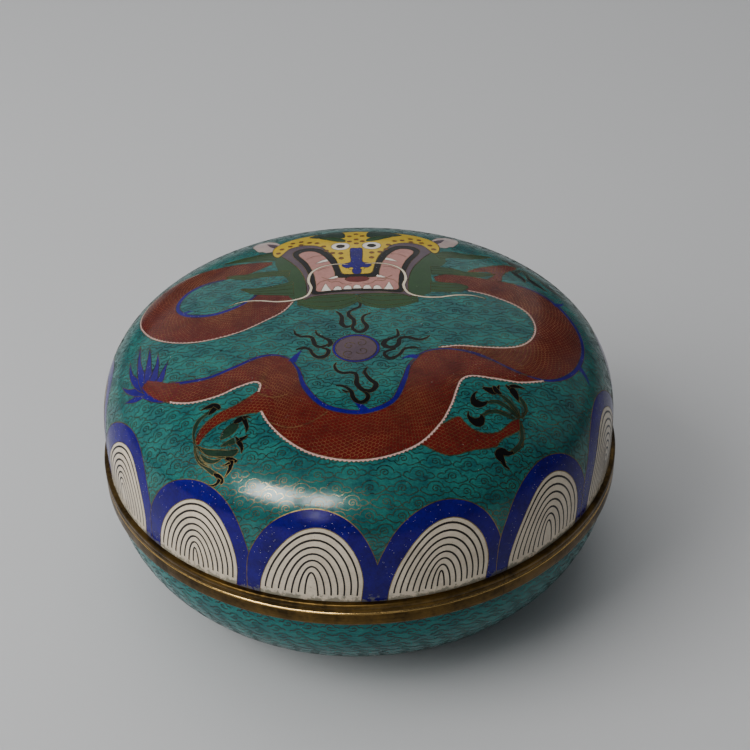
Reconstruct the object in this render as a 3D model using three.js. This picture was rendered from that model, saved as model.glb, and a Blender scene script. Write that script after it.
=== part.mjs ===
// Round covered box in cloisonne enamel on copper: a domed lid that lifts off a rounded bowl.
// Each half is an enamelled copper shell with a brass rim, and the bowl stands on a brass foot ring.
// Millimetres, +Z up. The origin is the centre of the foot ring's underside.
import * as THREE from "three";

// Driving dimensions
const BOX_RADIUS = 110; // outermost edge of the two brass rims
const WALL = 3; // copper with enamel on both sides
const RIM_PROUD = 2; // how far the rims stand out past the enamel
const FOOT_HEIGHT = 4;
const FOOT_RADIUS = 57;
const FOOT_WIDTH = 5;
const SEAM_HEIGHT = 58; // where the lid rests on the bowl
const LID_RIM_HEIGHT = 4;
const BOWL_RIM_HEIGHT = 7;
const DOME_HEIGHT = 61; // enamelled dome above the lid's rim
const DOME_SIDE_POWER = 3; // flatness of the dome's top, 2 being an ellipse
const DOME_TOP_POWER = 3.8; // steepness of the dome's side, 2 being an ellipse
const LIP_HEIGHT = 3.5; // the bowl's inner lip, which keeps the lid in place
const LIP_WIDTH = 2;
const LIP_CLEARANCE = 0.6;
const RIM_ROUNDING = 0.9;

// Levels of detail
const SEGMENTS = 72;
const DOME_STEPS = 14;
const DOME_INNER_STEPS = 10;
const BOWL_STEPS = 8;
const ROUNDING_STEPS = 2;

// Worked out from the driving dimensions
const SHELL_RADIUS = BOX_RADIUS - RIM_PROUD;
const DOME_BASE = SEAM_HEIGHT + LID_RIM_HEIGHT;
const BOWL_TOP = SEAM_HEIGHT - BOWL_RIM_HEIGHT;
const BOWL_CURVE_WIDTH = SHELL_RADIUS - FOOT_RADIUS;
const BOWL_CURVE_HEIGHT = BOWL_TOP - FOOT_HEIGHT;
const MOUTH_RADIUS = SHELL_RADIUS - WALL;

const finishes = {
  enamel: new THREE.MeshStandardMaterial({ color: 0x1f6f70, roughness: 0.2, metalness: 0.0 }),
  brass: new THREE.MeshStandardMaterial({ color: 0x8a6328, roughness: 0.35, metalness: 1.0 }),
};

const point = (radius, height) => new THREE.Vector2(radius, height);

// Half of a dome's section, from the axis at its top down to its open edge.
function domeSection(radius, height, steps) {
  return Array.from({ length: steps + 1 }, (_, i) => {
    const turn = (Math.PI / 2) * (1 - i / steps);
    const across = Math.max(Math.cos(turn), 0) ** (2 / DOME_SIDE_POWER);
    const up = Math.sin(turn) ** (2 / DOME_TOP_POWER);
    return point(i === 0 ? 0 : radius * across, DOME_BASE + height * up);
  });
}

// Half of the bowl's section, from its open edge down a quarter round to the flat floor at the axis.
function bowlSection(inset) {
  const side = Array.from({ length: BOWL_STEPS + 1 }, (_, i) => {
    const turn = (Math.PI / 2) * (i / BOWL_STEPS);
    const across = (BOWL_CURVE_WIDTH - inset) * Math.cos(turn);
    return point(FOOT_RADIUS + across, BOWL_TOP - (BOWL_CURVE_HEIGHT - inset) * Math.sin(turn));
  });
  return [...side, point(0, FOOT_HEIGHT + inset)];
}

// A quarter round between two directions, for a rounded corner of a rim.
function roundedCorner(radius, height, from, to) {
  return Array.from({ length: ROUNDING_STEPS + 1 }, (_, i) => {
    const turn = THREE.MathUtils.degToRad(from + ((to - from) * i) / ROUNDING_STEPS);
    return point(radius + RIM_ROUNDING * Math.cos(turn), height + RIM_ROUNDING * Math.sin(turn));
  });
}

// A solid turned from a section that runs clockwise, seen with the axis on the left.
function turned(name, section, finish) {
  const upright = [...section].reverse();
  const geometry = new THREE.LatheGeometry(upright, SEGMENTS).rotateX(Math.PI / 2);
  const mesh = new THREE.Mesh(geometry, finishes[finish]);
  mesh.name = name;
  return mesh;
}

const closed = (section) => [...section, section[0].clone()];

function lidShell() {
  const outside = domeSection(SHELL_RADIUS, DOME_HEIGHT, DOME_STEPS);
  const inside = domeSection(MOUTH_RADIUS, DOME_HEIGHT - WALL, DOME_INNER_STEPS).reverse();
  return turned("lid_shell", [...outside, ...inside], "enamel");
}

function lidRim() {
  const edge = BOX_RADIUS - RIM_ROUNDING;
  const section = [
    point(MOUTH_RADIUS, SEAM_HEIGHT),
    point(MOUTH_RADIUS, DOME_BASE),
    ...roundedCorner(edge, DOME_BASE - RIM_ROUNDING, 90, 0),
    ...roundedCorner(edge, SEAM_HEIGHT + RIM_ROUNDING, 0, -90),
  ];
  return turned("lid_rim", closed(section), "brass");
}

function bowlShell() {
  const inside = bowlSection(WALL).reverse();
  const outside = bowlSection(0);
  return turned("bowl_shell", [...inside, ...outside], "enamel");
}

// The bowl's rim is one ring: the band that shows, with the lip that stands up inside the lid.
function bowlRim() {
  const edge = BOX_RADIUS - RIM_ROUNDING;
  const lipOuter = MOUTH_RADIUS - LIP_CLEARANCE;
  const lipInner = lipOuter - LIP_WIDTH;
  const section = [
    point(MOUTH_RADIUS, BOWL_TOP),
    point(lipInner, BOWL_TOP + LIP_WIDTH),
    point(lipInner, SEAM_HEIGHT + LIP_HEIGHT),
    point(lipOuter, SEAM_HEIGHT + LIP_HEIGHT),
    point(lipOuter, SEAM_HEIGHT),
    ...roundedCorner(edge, SEAM_HEIGHT - RIM_ROUNDING, 90, 0),
    point(BOX_RADIUS, BOWL_TOP + RIM_PROUD),
    point(SHELL_RADIUS, BOWL_TOP),
  ];
  return turned("bowl_rim", closed(section), "brass");
}

function footRing() {
  const inner = FOOT_RADIUS - FOOT_WIDTH;
  const section = [
    point(inner, 0),
    point(inner, FOOT_HEIGHT),
    point(FOOT_RADIUS, FOOT_HEIGHT),
    point(FOOT_RADIUS, 0),
  ];
  return turned("foot_ring", closed(section), "brass");
}

const box = new THREE.Group();

const lid = new THREE.Group();
lid.add(lidShell(), lidRim());

const bowl = new THREE.Group();
bowl.add(bowlShell(), bowlRim(), footRing());

box.add(lid, bowl);

export default box;
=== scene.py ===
# %% [markdown]
# # A covered box in cloisonne enamel
# A cloisonne worker bends thin metal wire into little fences, solders them to a copper shell, fills
# each cell with powdered glass of one colour, fires it and grinds everything flush. This lesson makes
# the box the same way: draw the fences flat, fill the cells, then lay the drawing over the dome.

# %% Load the fixed frame
import math

import bpy
import numpy as np
from mathutils import Matrix, Vector
from mathutils.geometry import delaunay_2d_cdt


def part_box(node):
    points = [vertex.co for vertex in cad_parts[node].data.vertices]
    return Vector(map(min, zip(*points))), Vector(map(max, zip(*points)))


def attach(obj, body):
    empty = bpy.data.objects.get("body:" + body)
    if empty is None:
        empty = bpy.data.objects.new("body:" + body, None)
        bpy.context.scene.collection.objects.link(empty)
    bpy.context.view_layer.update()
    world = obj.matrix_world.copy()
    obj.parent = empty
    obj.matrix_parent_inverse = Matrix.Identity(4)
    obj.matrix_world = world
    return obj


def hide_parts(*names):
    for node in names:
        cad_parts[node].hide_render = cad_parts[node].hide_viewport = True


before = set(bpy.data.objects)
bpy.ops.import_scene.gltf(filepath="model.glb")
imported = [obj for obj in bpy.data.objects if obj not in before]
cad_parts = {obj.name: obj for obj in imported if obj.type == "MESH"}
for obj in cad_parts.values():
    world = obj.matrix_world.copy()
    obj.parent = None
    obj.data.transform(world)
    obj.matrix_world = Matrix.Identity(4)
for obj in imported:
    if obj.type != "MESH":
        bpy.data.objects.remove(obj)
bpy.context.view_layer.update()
print("nodes in the frame:", sorted(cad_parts))

# %% [markdown]
# The solids already have the right size, so every measure starts from them. The shells' outlines follow
# two rules: the dome is a superellipse, rounder than a square and squarer than an ellipse, and the bowl
# is a quarter of an ellipse. Writing the rules down once lets every piece share the same curve.

# %% Sizes taken from the frame, in metres
lid_low, lid_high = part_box("lid_shell")
bowl_low, bowl_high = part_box("bowl_shell")
rim_low, rim_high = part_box("lid_rim")
_, bowl_rim_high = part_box("bowl_rim")
_, foot_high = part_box("foot_ring")

MM = 0.001
WALL = 3 * MM
SECTION_STEP = 0.5 * MM
INSIDE_STEP = 4 * MM
SHELL_RADIUS = lid_high.x
RIM_RADIUS = rim_high.x
DOME_BASE = lid_low.z
DOME_HEIGHT = lid_high.z - lid_low.z
SEAM = rim_low.z
BOWL_TOP = bowl_high.z
BOWL_BASE = bowl_low.z
FOOT_RADIUS = foot_high.x
FOOT_WIDTH = 5 * MM
LIP_TOP = bowl_rim_high.z
DOME_SIDE_POWER = 3.0
DOME_TOP_POWER = 3.8
print(f"shell {SHELL_RADIUS:.4f}, rims {RIM_RADIUS:.4f}, dome {DOME_BASE:.4f} to {lid_high.z:.4f}")


# %% The two outlines as rules
def dome_section(radius, height, steps=4000):
    """Radius and height from the top of the dome down to its edge."""
    turn = np.linspace(math.pi / 2, 0, steps)
    across = np.maximum(np.cos(turn), 0) ** (2 / DOME_SIDE_POWER)
    up = np.sin(turn) ** (2 / DOME_TOP_POWER)
    across[0] = 0
    return np.column_stack([radius * across, DOME_BASE + height * up])


def bowl_section(inset, steps=2000):
    """Radius and height from the middle of the bowl's underside out and up to its edge."""
    turn = np.linspace(math.pi / 2, 0, steps)
    across = FOOT_RADIUS + (SHELL_RADIUS - FOOT_RADIUS - inset) * np.cos(turn)
    up = BOWL_TOP - (BOWL_TOP - BOWL_BASE - inset) * np.sin(turn)
    return np.vstack([[0, BOWL_BASE + inset], np.column_stack([across, up])])


def steps_of(points):
    """The distances between neighbouring points of a line."""
    return np.linalg.norm(np.diff(points, axis=0), axis=1)


def length_of(points):
    return float(steps_of(points).sum())


def distances_along(points):
    """How far along a line each of its points is."""
    return np.concatenate([[0], np.cumsum(steps_of(points))])


def evenly(points, step):
    """The same line again, with its points about one step apart."""
    along = distances_along(points)
    stations = np.linspace(0, along[-1], max(int(round(along[-1] / step)), 1) + 1)
    return np.column_stack([np.interp(stations, along, column) for column in points.T])


lid_outside = evenly(dome_section(SHELL_RADIUS, DOME_HEIGHT), SECTION_STEP)
lid_inside = evenly(dome_section(SHELL_RADIUS - WALL, DOME_HEIGHT - WALL), INSIDE_STEP)
bowl_outside = evenly(bowl_section(0), SECTION_STEP)
LID_REACH = length_of(lid_outside) / MM
BOWL_REACH = length_of(bowl_outside) / MM
print(f"over the dome from top to edge: {LID_REACH:.1f} mm, over the bowl: {BOWL_REACH:.1f} mm")

# %% [markdown]
# ## The drawing
# A pattern for a round dome is drawn on flat paper: distance from the middle is distance over the dome,
# and direction is direction. Everything below is in millimetres on that paper, with the viewer's side
# at negative y. Few points carry each shape, and a smooth curve runs through them.

# %% Pens for the flat drawing
PEN_STEP = 1.3
FINE_STEP = 0.6
THINNEST = 0.15


def smooth(points, step=PEN_STEP, closed=False):
    """A Catmull-Rom curve through the points, sampled about one step apart."""
    points = np.array(points, float)
    count = len(points)
    last = count if closed else count - 1
    line = []
    for i in range(last):
        if closed:
            before, start, end, after = (points[(i + k) % count] for k in (-1, 0, 1, 2))
        else:
            before, start, end, after = (points[min(max(i + k, 0), count - 1)] for k in (-1, 0, 1, 2))
        pieces = max(int(math.ceil(np.linalg.norm((end - start)[:2]) / step)), 2)
        for t in np.arange(pieces) / pieces:
            leave, arrive = (end - before) / 2, (after - start) / 2
            line.append(
                (2 * t**3 - 3 * t**2 + 1) * start
                + (t**3 - 2 * t**2 + t) * leave
                + (3 * t**2 - 2 * t**3) * end
                + (t**3 - t**2) * arrive
            )
    if not closed:
        line.append(points[-1])
    return np.array(line)


def sideways(line):
    """Unit vectors to the left of a line."""
    ahead = np.gradient(line[:, :2], axis=0)
    ahead /= np.maximum(np.linalg.norm(ahead, axis=1), 1e-9)[:, None]
    return np.column_stack([-ahead[:, 1], ahead[:, 0]])


def ribbon(line, widths):
    """The outline of a line that has a width at each point."""
    half = np.asarray(widths)[:, None] / 2
    left = sideways(line)
    return np.vstack([line[:, :2] + left * half, (line[:, :2] - left * half)[::-1]])


def stroke(points, step=PEN_STEP):
    """The outline of a brush stroke: each point is x, y and the stroke's width there."""
    line = smooth(points, step)
    return ribbon(line, np.maximum(line[:, 2], THINNEST))


def disc(x, y, radius, count=28):
    turn = np.arange(count) * 2 * math.pi / count
    return np.column_stack([x + radius * np.cos(turn), y + radius * np.sin(turn)])


# %% Sheets that collect cells and wires
cells = []
wires = []
GOLD_WIRE = 0.34
FINE_WIRE = 0.26
LOCK_WIRE = 0.15


def cell(glaze, outline, wire=GOLD_WIRE):
    """One cell of glass. A later cell lies over an earlier one, and a wire fences it in."""
    cells.append((glaze, np.array(outline, float)))
    if wire:
        wires.append((np.array(outline, float), True, wire, len(cells)))


def wire(line, width=GOLD_WIRE):
    wires.append((np.array(line, float), False, width, len(cells)))


# %% [markdown]
# ### Lappets
# A row of fourteen arches stands on the edge of the lid, as on lotus-petal borders. Each is a cobalt arch
# with a white tongue in it, and the tongue holds nested wire arches. One outline, bent a little to one
# side as by hand, serves them all, and the nested ones are the same outline drawn in. Its widths are
# angles, because the paper is wider than the dome there.

# %% Lappet border
LAPPETS = 14
LAPPET_PITCH = 360 / LAPPETS
FIRST_VALLEY = 2.3
EDGE_BEYOND = 3.0
cobalt_arch = [
    (-13.4, 0), (-13.3, 8), (-12.6, 17.5), (-10.6, 26), (-8.4, 31.9), (-5.4, 36.4), (-2, 39.1),
    (1.3, 40), (4.6, 39), (7.9, 35.9), (10.6, 30.4), (12.6, 22), (14.2, 10),
]
white_arch = [
    (-10.7, 0), (-10.2, 6.5), (-8.9, 14), (-7.2, 20.4), (-4.9, 26.4), (-2, 31), (1.2, 33), (4.2, 32.2),
    (6.9, 28.6), (8.9, 22.8), (10, 16), (10.3, 9), (9.8, 0),
]
RIGHT_VALLEY = 13.25
BORDER_WIRE = 0.36


def on_paper(direction, reach):
    """Paper position for a direction in degrees from the viewer's side and a distance over the dome."""
    angle = np.radians(direction)
    return np.column_stack([reach * np.sin(angle), -reach * np.cos(angle)])


def arch(shape, middle, across=1.0, up=1.0, foot=0.0):
    """An arch on the paper, made narrower by across and lower by up. Its legs stop at the foot."""
    line = smooth([(direction * across, height * up) for direction, height in shape])
    line = line[line[:, 1] >= foot]
    return on_paper(middle + line[:, 0], LID_REACH - line[:, 1])


lappet_middles = [FIRST_VALLEY + LAPPET_PITCH * (number + 0.5) for number in range(LAPPETS)]
cobalt_shown = [tuple(point) for point in smooth(cobalt_arch, FINE_STEP) if point[0] < RIGHT_VALLEY]
for glaze, shape, shown in (("cobalt", cobalt_arch, cobalt_shown), ("white", white_arch, white_arch)):
    for middle in lappet_middles:
        foot = on_paper(middle + np.array([shape[-1][0], 0, shape[0][0]]), LID_REACH + EDGE_BEYOND)
        cell(glaze, np.vstack([arch(shape, middle), foot]), wire=0)
        wire(arch(shown, middle), BORDER_WIRE)
print(LAPPETS, "lappets,", round(LAPPET_PITCH, 1), "degrees apart")

# %% Nested wires in each white tongue
ARCH_WIRE = 0.84
TONGUE_HALF, TONGUE_RISE = 19.4, 33.0
FIRST_INSET = 1.9
STEP_DOWN = 2.9
BARE_EDGE = 2.3
FULL_TONGUE, SPARE_TONGUE = (8, 1.4), (7, 2.5)  # how many arches, and half the width inside the last
tongue_lines = []
for number, middle in enumerate(lappet_middles):
    count, heart = SPARE_TONGUE if number % 2 else FULL_TONGUE
    step_in = (TONGUE_HALF - FIRST_INSET - heart) / (count - 1)
    for step in range(count):
        across = 1 - (FIRST_INSET + step * step_in) / TONGUE_HALF
        up = 1 - (FIRST_INSET + step * STEP_DOWN) / TONGUE_RISE
        tongue_lines.append(arch(white_arch, middle, across, up, BARE_EDGE))
print(len(tongue_lines), "nested arches")

# %% [markdown]
# ### The dragon
# A body is a back line and a belly line. The pair gives the red cell, the cobalt ridge along the back,
# the pale saw-toothed edge along the belly and the rows of scales between them, so nothing has to be
# drawn twice. Where one stretch passes behind another, it's simply drawn first. A limb is one outline,
# and the heading written with it says which way its scales lie.

# %% The drawn lines of the body and limbs
body_back = [
    (-85, -35), (-78, -37.5), (-68, -40), (-58, -40.3), (-48, -36.5), (-39, -32), (-32, -31.5),
    (-26.5, -34.5), (-23, -42), (-20.5, -52), (-14, -62), (-5, -66.3), (4, -66.4), (13, -61),
    (17.5, -50), (20, -41), (25, -33.5), (33, -30.5), (42, -31.5), (52, -36), (62, -41.5), (73, -43.6),
]
tail_belly = [
    (-85, -38), (-80, -43), (-73, -48.8), (-64, -52), (-54, -51.4), (-47, -48.6), (-40, -46.6),
    (-37.5, -48.5), (-38.2, -52.5),
]
trunk_belly = [
    (-37, -62.5), (-34, -69), (-28, -77), (-19, -84), (-8, -87.8), (3, -88.3), (14, -85.6), (23, -80.5),
    (30.5, -71.5), (35, -62), (37.5, -54), (39.8, -48.6), (44, -46.3), (53, -46.8), (63, -47),
    (73, -43.6),
]
loop_outer = [
    (40, -30.2), (48, -33.2), (58, -39.2), (66, -42.7), (74, -43), (82, -38.8), (89, -30.5),
    (93.5, -19), (94.2, -7), (91, 4), (85.4, 13.4), (77.4, 20), (68.4, 23), (60, 23.8), (52, 25),
    (45, 26.2), (38.6, 26.4), (33.4, 24),
]
loop_inner = [
    (32, -29.6), (40, -28.1), (50, -28.3), (59, -27.4), (66, -24.3), (71, -18), (73, -10), (71.6, -2),
    (67, 3.8), (60, 8.2), (53, 11.4), (47, 13), (41, 17.2), (34, 20.4),
]
neck_inner = [
    (-27, 13.4), (-35, 13.8), (-41.5, 13.6), (-45, 9), (-50, 5.2), (-57, 2.2), (-64, 2.4), (-71, 5.8),
    (-75, 12), (-75, 19), (-71.5, 26), (-65, 30), (-56, 31.2), (-46, 33.4), (-36, 40.6),
]
neck_outer = [
    (-26, 6.2), (-30, -1), (-37, -7), (-46, -13), (-56, -16), (-66, -16), (-75.5, -12.4), (-84, -5.4),
    (-90, 4), (-93.4, 14), (-93.6, 24), (-90, 34), (-81, 41.6), (-69, 45.3), (-52, 45), (-36, 43),
]
far_arm = [
    (48.5, 30.2), (53.5, 34.6), (59.6, 38.4), (64.6, 41.6), (68.8, 43.4), (71.6, 42.4), (69.6, 38.6),
    (66, 34.6), (63.6, 30), (62.4, 24), (60, 19), (54, 20.4), (56.6, 24.6), (59.6, 28.8), (57.6, 31.4),
    (53, 30.6),
]
near_thigh = [
    (-33.6, -57, 12.6), (-36.7, -57.6, 11.7), (-39.7, -58.6, 9.5), (-42.8, -59.6, 7.3),
    (-46.6, -60.8, 5.7), (-50.5, -61.9, 5.1), (-54.4, -63.5, 4.5), (-57.7, -65.7, 3.9),
    (-60.1, -67.9, 3.4), (-61.7, -70.2, 2.4), (-62, -72.1, 1.3),
]
other_thigh = [
    (29.9, -72.8), (37, -68.2), (39.1, -70.4), (41.3, -72.6), (43.6, -74.1), (46.7, -74.6),
    (50.6, -73.9), (53.3, -72.5), (55.5, -70.1), (58.1, -67.3), (60.9, -65.7), (61.9, -67.5),
    (61.1, -70.4), (57.9, -72.9), (55, -74.9), (52.9, -76.8), (51.9, -79.1), (49.7, -80), (47.3, -80.9),
    (44.1, -81.7), (40.2, -83.1), (36.3, -84.8), (32.5, -85.4), (28.7, -84.5), (24.6, -82.5),
    (20.4, -80.4), (22, -76),
]
hips = [
    [(-38.4, -53.4), (-32.1, -56.3), (-26.6, -55.1)],
    [(-34.8, -67.7), (-26.6, -72.2), (-18.4, -70.6), (-11.7, -66)],
]

# %% Red cells of the body and its limbs
HIP_WIRE = 0.4
THIGH_HIDDEN = 6  # this many points of the near thigh's line lie inside the body
limbs = []  # the number of each limb's cell, and its heading in degrees
for points, heading in ((far_arm, 50), (other_thigh, 10)):
    limbs.append((len(cells), heading))
    cell("brick_red", smooth(points, closed=True))
stretches = [
    (smooth(body_back), np.vstack([smooth(tail_belly), smooth(trunk_belly)])),
    (smooth(loop_outer), smooth(loop_inner)),
    (smooth(neck_inner), smooth(neck_outer)),
]
first_stretch = len(cells)
for back, belly in stretches:
    cell("brick_red", np.vstack([back, belly[::-1]]))
limbs.append((len(cells), 195))
cell("brick_red", stroke(near_thigh), wire=0)
thigh_line = smooth(near_thigh)[THIGH_HIDDEN:]
for side in (-0.5, 0.5):
    wire(thigh_line[:, :2] + sideways(thigh_line) * thigh_line[:, 2:3] * side)
for hip in hips:
    wire(smooth(hip), HIP_WIRE)
print("length of the body along its backs:", round(sum(length_of(b) for b, _ in stretches)), "mm")

# %% Ridges and saw-toothed belly edges
TOOTH_STEP = 0.85


def ridge(points, width):
    """A cobalt ridge, thin at both ends."""
    line = smooth(points)
    along = np.linspace(0, 1, len(line))
    widths = width * np.minimum(1, 0.35 + 3 * np.minimum(along, 1 - along))
    cell("cobalt", ribbon(line, widths), FINE_WIRE)


def saw_edge(points, width, tooth, side):
    """A pale belly edge. Every second point of its outer side stands out, which makes the teeth."""
    line = evenly(smooth(points), TOOTH_STEP)
    left = sideways(line) * side
    teeth = np.where(np.arange(len(line)) % 2 == 0, tooth, -tooth)[:, None]
    inner = line[:, :2] - left * width / 2
    outer = line[:, :2] + left * (width / 2 + teeth)
    cell("pale", np.vstack([inner, outer[::-1]]), FINE_WIRE)


for points, width in (
    (body_back[:8], 1.6), (body_back[7:17], 2.2), (body_back[15:], 0.9),
    (loop_outer[3:13], 1.9), (loop_outer[:4], 0.8), (neck_inner[2:13], 1.9),
):
    ridge(points, width)
saw_edge(tail_belly[1:], 1.0, 0.27, side=-1)
saw_edge(trunk_belly, 1.0, 0.27, side=-1)
saw_edge(loop_inner[:12], 0.9, 0.24, side=1)
saw_edge(neck_outer[:14], 0.8, 0.2, side=-1)

# %% Fins on the ridges
fins = [
    [(-25.5, -36.5, 3.4), (-23.6, -32.5, 1.8), (-21.8, -29.6, 0.2)],
    [(2.2, -66.4, 3.6), (-0.2, -62.8, 1.8), (-2.6, -60.6, 0.2)],
    [(23.4, -36.2, 3.4), (20.4, -35.4, 1.8), (17, -37.2, 0.2)],
    [(-73, 6.8, 3.0), (-70.4, 8.2, 1.6), (-67.8, 8.0, 0.2)],
    [(90.6, -28.6, 3.2), (93.8, -32, 1.6), (95.6, -36, 0.2)],
    [(84.4, 12.6, 3.0), (88, 15, 1.6), (90.4, 18.6, 0.2)],
]
for points in fins:
    cell("cobalt", stroke(points, 1.0), wire=0)
print(len(fins), "fins")

# %% Tail plume, a fan of cobalt strokes over the tip of the tail
plume = [
    [(-84, -37, 6.0), (-90, -38.6, 3.4), (-97, -36.6, 0.2)],
    [(-84, -37, 6.0), (-89.6, -35.2, 4.2), (-95, -31.4, 1.9), (-98.6, -26.6, 0.2)],
    [(-84, -36, 6.0), (-88.8, -31.8, 4.2), (-93.2, -24, 2.0), (-94.8, -14.4, 0.2)],
    [(-84, -36, 6.0), (-87.2, -29.6, 4.2), (-89.6, -19.6, 2.0), (-90.4, -6.4, 0.2)],
    [(-83, -36, 6.0), (-84.6, -29, 3.8), (-84.9, -19, 1.8), (-85.4, -11, 0.2)],
    [(-82.4, -37, 5.6), (-81.7, -31, 3.6), (-80.8, -24, 1.6), (-81, -17, 0.2)],
    [(-82, -38, 5.4), (-78.8, -34, 3.4), (-77.4, -29, 1.6), (-76, -24.4, 0.2)],
    [(-85, -39, 4.4), (-81, -44.2, 2.0), (-76, -47.6, 0.2)],
]
tail_tip = [(-86, -33, 3.6), (-82, -37, 6.4), (-77, -41.4, 8.4), (-72, -44, 10)]
for points in plume:
    cell("cobalt", stroke(points), FINE_WIRE)
limbs.append((len(cells), 140))
cell("brick_red", stroke(tail_tip), wire=0)
print(len(plume), "strokes in the plume")

# %% [markdown]
# ### Claws, pearl and flames
# Each foot is a spray from one wrist: dark green pads and toes under the paint-black claws, with gold lines
# drawn over them. The flames are ribbons with an s-bend. Both are brush strokes: a middle line, with the
# stroke's own width at every point.

# %% Claws
CLAW_WIRE = 0.22
CLAW_STEP = 0.9


def strokes(glaze, many, width=CLAW_WIRE):
    for points in many:
        cell(glaze, stroke(points, CLAW_STEP), width)


near_toes = [
    [(-63.4, -71.4, 0.6), (-63.7, -67.9, 0.8), (-62.8, -64.1, 1.6), (-61.3, -61.6, 1.5),
     (-59.3, -60.1, 1.2), (-57.2, -59, 1.4)],
    [(-52.7, -72.6, 0.7), (-50.5, -70.7, 3.7), (-48.1, -68.8, 4.2), (-46.1, -66.7, 2.3)],
    [(-52.6, -75.5, 0.7), (-49.7, -74.9, 2.2), (-47.1, -74.3, 2.7)],
    [(-62.9, -72.6, 0.7), (-58.8, -76, 2.2), (-54.7, -77.9, 3), (-50.7, -79.3, 3.1),
     (-47.5, -79.3, 2.6), (-46, -78.2, 0.9)],
    [(-63.4, -72.2, 0.8), (-63.1, -76, 1.3), (-61.7, -79.5, 1.7), (-59.2, -82.4, 1.6), (-56.3, -85.6, 1.9)],
    [(-61, -76.7, 0.7), (-58.7, -79.6, 1.8), (-55.8, -80.9, 1.5), (-52.8, -80.6, 0.4)],
]
near_claws = [
    [(-60.8, -57, 0.3), (-58.6, -56.4, 1.3), (-56.2, -56, 2.4), (-54.2, -56.8, 2.5), (-53, -58.3, 1.1)],
    [(-57.5, -60.1, 0.6), (-56.1, -58.8, 2.2), (-54.7, -57.4, 2.5)],
    [(-47.3, -66.6, 1), (-45.8, -65.6, 2.5), (-43.8, -65, 2.3), (-42.9, -67.1, 1.7),
     (-42.3, -69.5, 1.4), (-42.6, -71.8, 0.2)],
    [(-43.8, -64.8, 2), (-42.3, -64.4, 0.9), (-40.6, -65.6, 0.2)],
    [(-42, -73.2, 0.5), (-43.8, -74.1, 1.4), (-45.6, -74.9, 2.1), (-44.8, -76.7, 1.7),
     (-44.3, -78.7, 1.1), (-44.7, -80.3, 0.2)],
    [(-46.8, -72.7, 0.4), (-45.6, -74.7, 1.5)],
    [(-51, -80.8, 1), (-48.8, -81.8, 1.9), (-46.5, -83.3, 1.1)],
    [(-48.6, -82.1, 2.1), (-49.1, -83.9, 2.1), (-49.8, -85.7, 1.5), (-52, -87.9, 0.3)],
    [(-52.9, -83.4, 0.3), (-51, -83.3, 0.8), (-49.3, -82.9, 1.2)],
    [(-56.5, -85.5, 1.1), (-54.4, -87.2, 2.2), (-53.5, -89.2, 2.1), (-54.3, -90.2, 0.3)],
    [(-54.3, -88, 1.7), (-55.8, -89.5, 1.1), (-58, -89.6, 0.7), (-59.7, -88.7, 0.2)],
]
near_lines = [
    [(-63.3, -73.1), (-63.2, -76.4), (-61.7, -79.7), (-59.3, -81.8), (-56.9, -83.2)],
    [(-62.4, -73), (-61.6, -76.9), (-59.8, -80.1), (-57.4, -82.3)],
    [(-61.2, -74.2), (-58.9, -77.5), (-55.6, -79), (-50.8, -80.2)],
    [(-61.6, -73.4), (-57.1, -75.7), (-51.4, -77.1), (-48.6, -77.4)],
    [(-56.3, -81.8), (-55.4, -83.5), (-52.7, -84.4), (-50.4, -84.2)],
    [(-55.8, -84.7), (-53.8, -86.4), (-52.4, -88.1)],
    [(-49.7, -75.2), (-48.2, -77), (-46.6, -77.4), (-45.7, -79.1), (-47.6, -80.7)],
]
other_toes = [
    [(53.9, -55.1, 0.7), (56.3, -57, 1.7), (58.5, -59.8, 1.9), (60.3, -62.9, 1.5), (61.2, -65.3, 0.9)],
    [(48.6, -60.1, 0.7), (51.8, -59.1, 1.7), (54.9, -60, 1.8), (58, -62.3, 1.7), (60.6, -65.2, 1)],
    [(45.9, -66.8, 0.6), (49.1, -64.6, 1.5), (52.3, -63.9, 1.7), (55.8, -64.8, 1.6), (59.4, -65.7, 1)],
    [(61.7, -54.9, 1.1), (63.5, -57.9, 1.8), (64, -61.1, 1.3), (62.1, -65, 0.8)],
    [(57.9, -80.5, 1.8), (61.1, -77.1, 2), (62.1, -73.8, 1.6), (61.9, -70.2, 1.3), (61.4, -66.2, 0.8)],
]
other_claws = [
    [(47.6, -52.4, 1.1), (49.5, -53.3, 2.8), (51.7, -53.7, 3.9), (53.1, -52.4, 1.9), (54.2, -50.1, 0.3)],
    [(51.9, -51.1, 1.3), (53, -53.7, 2.4), (54.7, -54.8, 0.5)],
    [(45.2, -54.7, 0.2), (43.8, -56.6, 1.1), (43.4, -59, 2.2), (44.5, -61, 4.1), (47, -61, 2.2),
     (49.1, -59.3, 0.4)],
    [(41.1, -65.3, 0.2), (41, -67.6, 1.2), (42.5, -69.5, 2.8), (44.7, -70.1, 4.1), (46.2, -67.8, 2.2),
     (45.8, -66.1, 0.4)],
    [(64.5, -50, 0.3), (61.3, -49.6, 1.6), (58.8, -50.2, 1.9), (59.7, -52.8, 3.1), (60.8, -55.4, 2),
     (61.3, -57.3, 0.3)],
    [(56.7, -49.6, 0.4), (58.2, -51.3, 2)],
    [(57.3, -87, 0.4), (55.2, -86.1, 1.3), (54.1, -84.4, 2.2), (52.7, -82.5, 4), (54.2, -81, 3.4),
     (56.3, -81.2, 1.9), (58.6, -80.2, 1.1)],
]
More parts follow.
